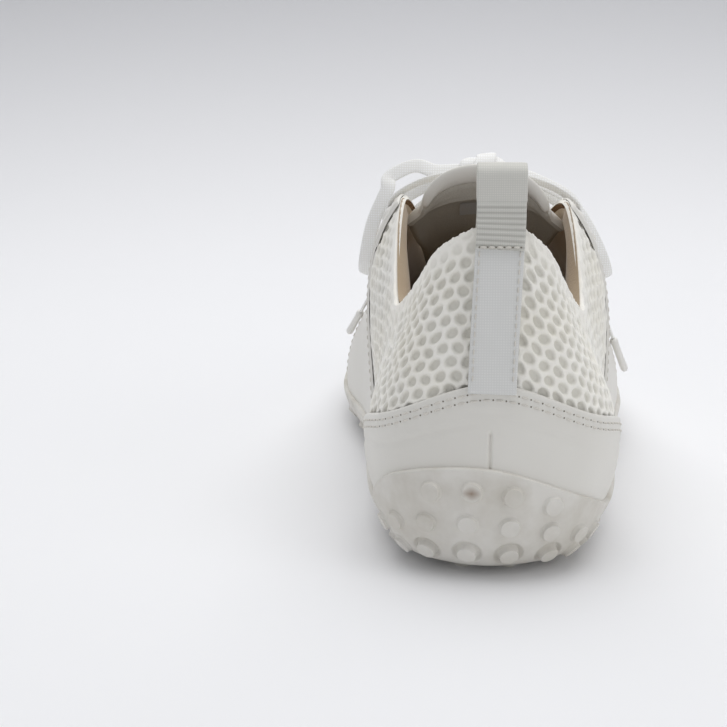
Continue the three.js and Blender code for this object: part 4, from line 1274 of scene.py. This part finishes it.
def tongue_patch():
    """The blank woven label on the inside of the tongue."""
    across, run = np.meshgrid(np.linspace(-0.26, 0.26, 12), np.linspace(-0.5, -0.15, 8), indexing="ij")
    points = tongue_points(run, across, TONGUE_BACK - 0.35)
    label = make_piece("label_patch", points, grid_faces(*run.shape), LABEL_LOOK)
    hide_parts("tongue_label")


tongue_pad()
tongue_edge()
tongue_patch()


# ---- pull tab ----

TAPE_THICKNESS = 0.9
TAPE_TOP = GAP + 0.9 + TAB_THICKNESS
TAB_DEPTH = GAP + 0.9 + TAB_THICKNESS / 2
WEBBING_STEP = 0.25
RIB_PITCH = 1.5
RIB_HEIGHT = 0.6
ACROSS = [1.0, 0.0, 0.0]
BACKWARDS = [0.0, -1.0, 0.1]


def tab_point(height, distance):
    """A point on the middle line of the heel at a height, at a distance from the last."""
    return layer(0.0, share_at_height(0.0, height), distance)


def heel_tape():
    """The smooth tape down the heel, with a row of stitches along each edge."""
    heights = np.linspace(COUNTER_HEIGHT - 2.5, COLLAR_HEIGHT - 6, 60)
    points = np.array([tab_point(height, TAB_DEPTH) for height in heights])
    tape = ribbon("heel_tape", TAPE_LOOK, points, np.tile(ACROSS, (60, 1)), TAB_WIDTH, TAPE_THICKNESS,
                  section=24, power=6)
    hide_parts("pull_tab_tape")


def tape_stitches(side, way):
    """A row of stitches along one edge of the tape."""
    heights = np.linspace(COUNTER_HEIGHT + 0.5, COLLAR_HEIGHT - 7, 40)
    points = np.array([tab_point(height, TAPE_TOP) for height in heights])
    points[:, 0] += way * (TAB_WIDTH / 2 - 1.1)
    rows = stitch_line(f"tape_stitches_{side}", points, np.tile(BACKWARDS, (40, 1)), 2.4,
                       radius=0.2, holes=False)


def tab_webbing():
    """The ribbed webbing loop that folds over the collar's edge; its smooth ends are sewn down."""
    corner, other_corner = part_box("pull_tab_loop")
    back = corner.y * 1000 + TAB_THICKNESS / 2
    front = other_corner.y * 1000 - TAB_THICKNESS / 2
    top = other_corner.z * 1000 - TAB_THICKNESS / 2
    low = tab_point(COLLAR_HEIGHT - 7, TAB_DEPTH + 0.5)
    inner = tab_point(COLLAR_HEIGHT - 12, lining_face(0.0) - LINING - 1.4)
    x = tab_point(COLLAR_HEIGHT - 0.5, TAB_DEPTH)[0]
    stops = [low, tab_point(COLLAR_HEIGHT - 3, TAB_DEPTH + 0.4), (x, back, COLLAR_HEIGHT + 2),
             (x, back, top - 6), (x, back + 0.5, top - 1.6), (x, (back + front) / 2, top),
             (x, front - 0.5, top - 1.6), (x, front, top - 6), (x, front, COLLAR_HEIGHT + 2),
             inner + (0, 0.2, 8), inner]
    points = even_curve(np.array([np.ravel(stop) for stop in stops], float), WEBBING_STEP)
    ribbed = 1 - smoothstep(points[:, 2], COLLAR_HEIGHT + 5, COLLAR_HEIGHT + 6.5)
    run = np.arange(len(points)) * WEBBING_STEP
    wave = 0.5 + 0.5 * np.cos(run / RIB_PITCH * 2 * math.pi)
    sides = np.tile(ACROSS, (len(points), 1))
    # The last value paints shade into the valleys between the ribs.
    loop = ribbon("tab_webbing", WEBBING_LOOK, points, sides, TAB_WIDTH + 0.3 - 0.3 * ribbed,
                  1.0 + RIB_HEIGHT * ribbed * wave, None, 24, 6, 0.4 * ribbed * (1 - wave) ** 2)
    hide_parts("pull_tab_loop", "pull_tab_anchor")
    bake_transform(loop)


def cross_stitch():
    """The row of stitches across the foot of the webbing."""
    x = np.linspace(-TAB_WIDTH / 2 + 1, TAB_WIDTH / 2 - 1, 8)
    line = tab_point(COLLAR_HEIGHT - 6.4, TAPE_TOP + 0.9) + x[:, None] * ACROSS
    for row in stitch_line("tab_cross_stitch", line, np.tile(BACKWARDS, (8, 1)), 2.2):
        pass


heel_tape()
tab_webbing()
tape_stitches("medial", -1)
tape_stitches("lateral", 1)
cross_stitch()


# ---- inner boards that keep their solids ----

for node in ("strobel_board", "heel_stiffener", "toe_puff"):
    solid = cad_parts[node]
    solid.data.materials.clear()
    solid.data.materials.append(BOARD_LOOK)


# ---- floor, backdrop and light ----

def studio():
    """A pale sweep that curves up behind the shoe, with painted shade greying it as it rises, under one broad
    overhead light and soft fills.
    """
    material, tree, place, colour, _ = new_material("paper_sweep_painted_shade", 0.9)
    # Painted shade: the sweep is near white on the floor and turns grey from 0.2 m up, standing in for the
    # light falling off.
    height = add_node(tree, "ShaderNodeSeparateXYZ", {"Vector": place}).outputs["Z"]
    share = add_node(tree, "ShaderNodeMapRange", {"Value": height, "From Min": 0.0, "From Max": 0.2})
    add_node(tree, "ShaderNodeMix",
             {"Factor": share.outputs["Result"], FIRST: linear("#f3f3f4"), SECOND: linear("#c6c6c8")},
             feeds=colour, data_type="RGBA")
    profile = [(-1.5, 0), (0.55, 0)]
    for angle in np.linspace(0.1, math.pi / 2, 16):
        profile.append((0.55 + 0.35 * math.sin(angle), 0.35 - 0.35 * math.cos(angle)))
    profile.append((0.9, 1.6))
    points = [[(x * 1000, y * 1000, z * 1000) for y, z in profile] for x in (-2.0, 2.0)]
    sweep = make_piece("paper_sweep_painted_shade", points, grid_faces(2, len(profile)), material, None)
    world = bpy.data.worlds.new("studio_air")
    world.use_nodes = True
    world.node_tree.nodes["Background"].inputs["Color"].default_value = linear("#f4f6fb")
    world.node_tree.nodes["Background"].inputs["Strength"].default_value = 0.44
    bpy.context.scene.world = world
    lights = [("overhead", (0.0, 0.25, 1.1), (0, 0.1, 0), 1.4, 10.5),
              ("side_fill", (1.1, -0.7, 0.7), (0, 0, 0.05), 0.9, 2.4)]
    for name, place_at, target, size, power in lights:
        data = bpy.data.lights.new(name, "AREA")
        data.size = size
        data.energy = power
        light = bpy.data.objects.new(name, data)
        bpy.context.scene.collection.objects.link(light)
        light.location = place_at
        way = np.array(target) - np.array(place_at)
        tilt = math.atan2(math.hypot(way[0], way[1]), -way[2])
        light.rotation_euler = (tilt, 0, math.atan2(way[0], -way[1]) + math.pi)
    bpy.context.scene.view_settings.view_transform = "Standard"


studio()
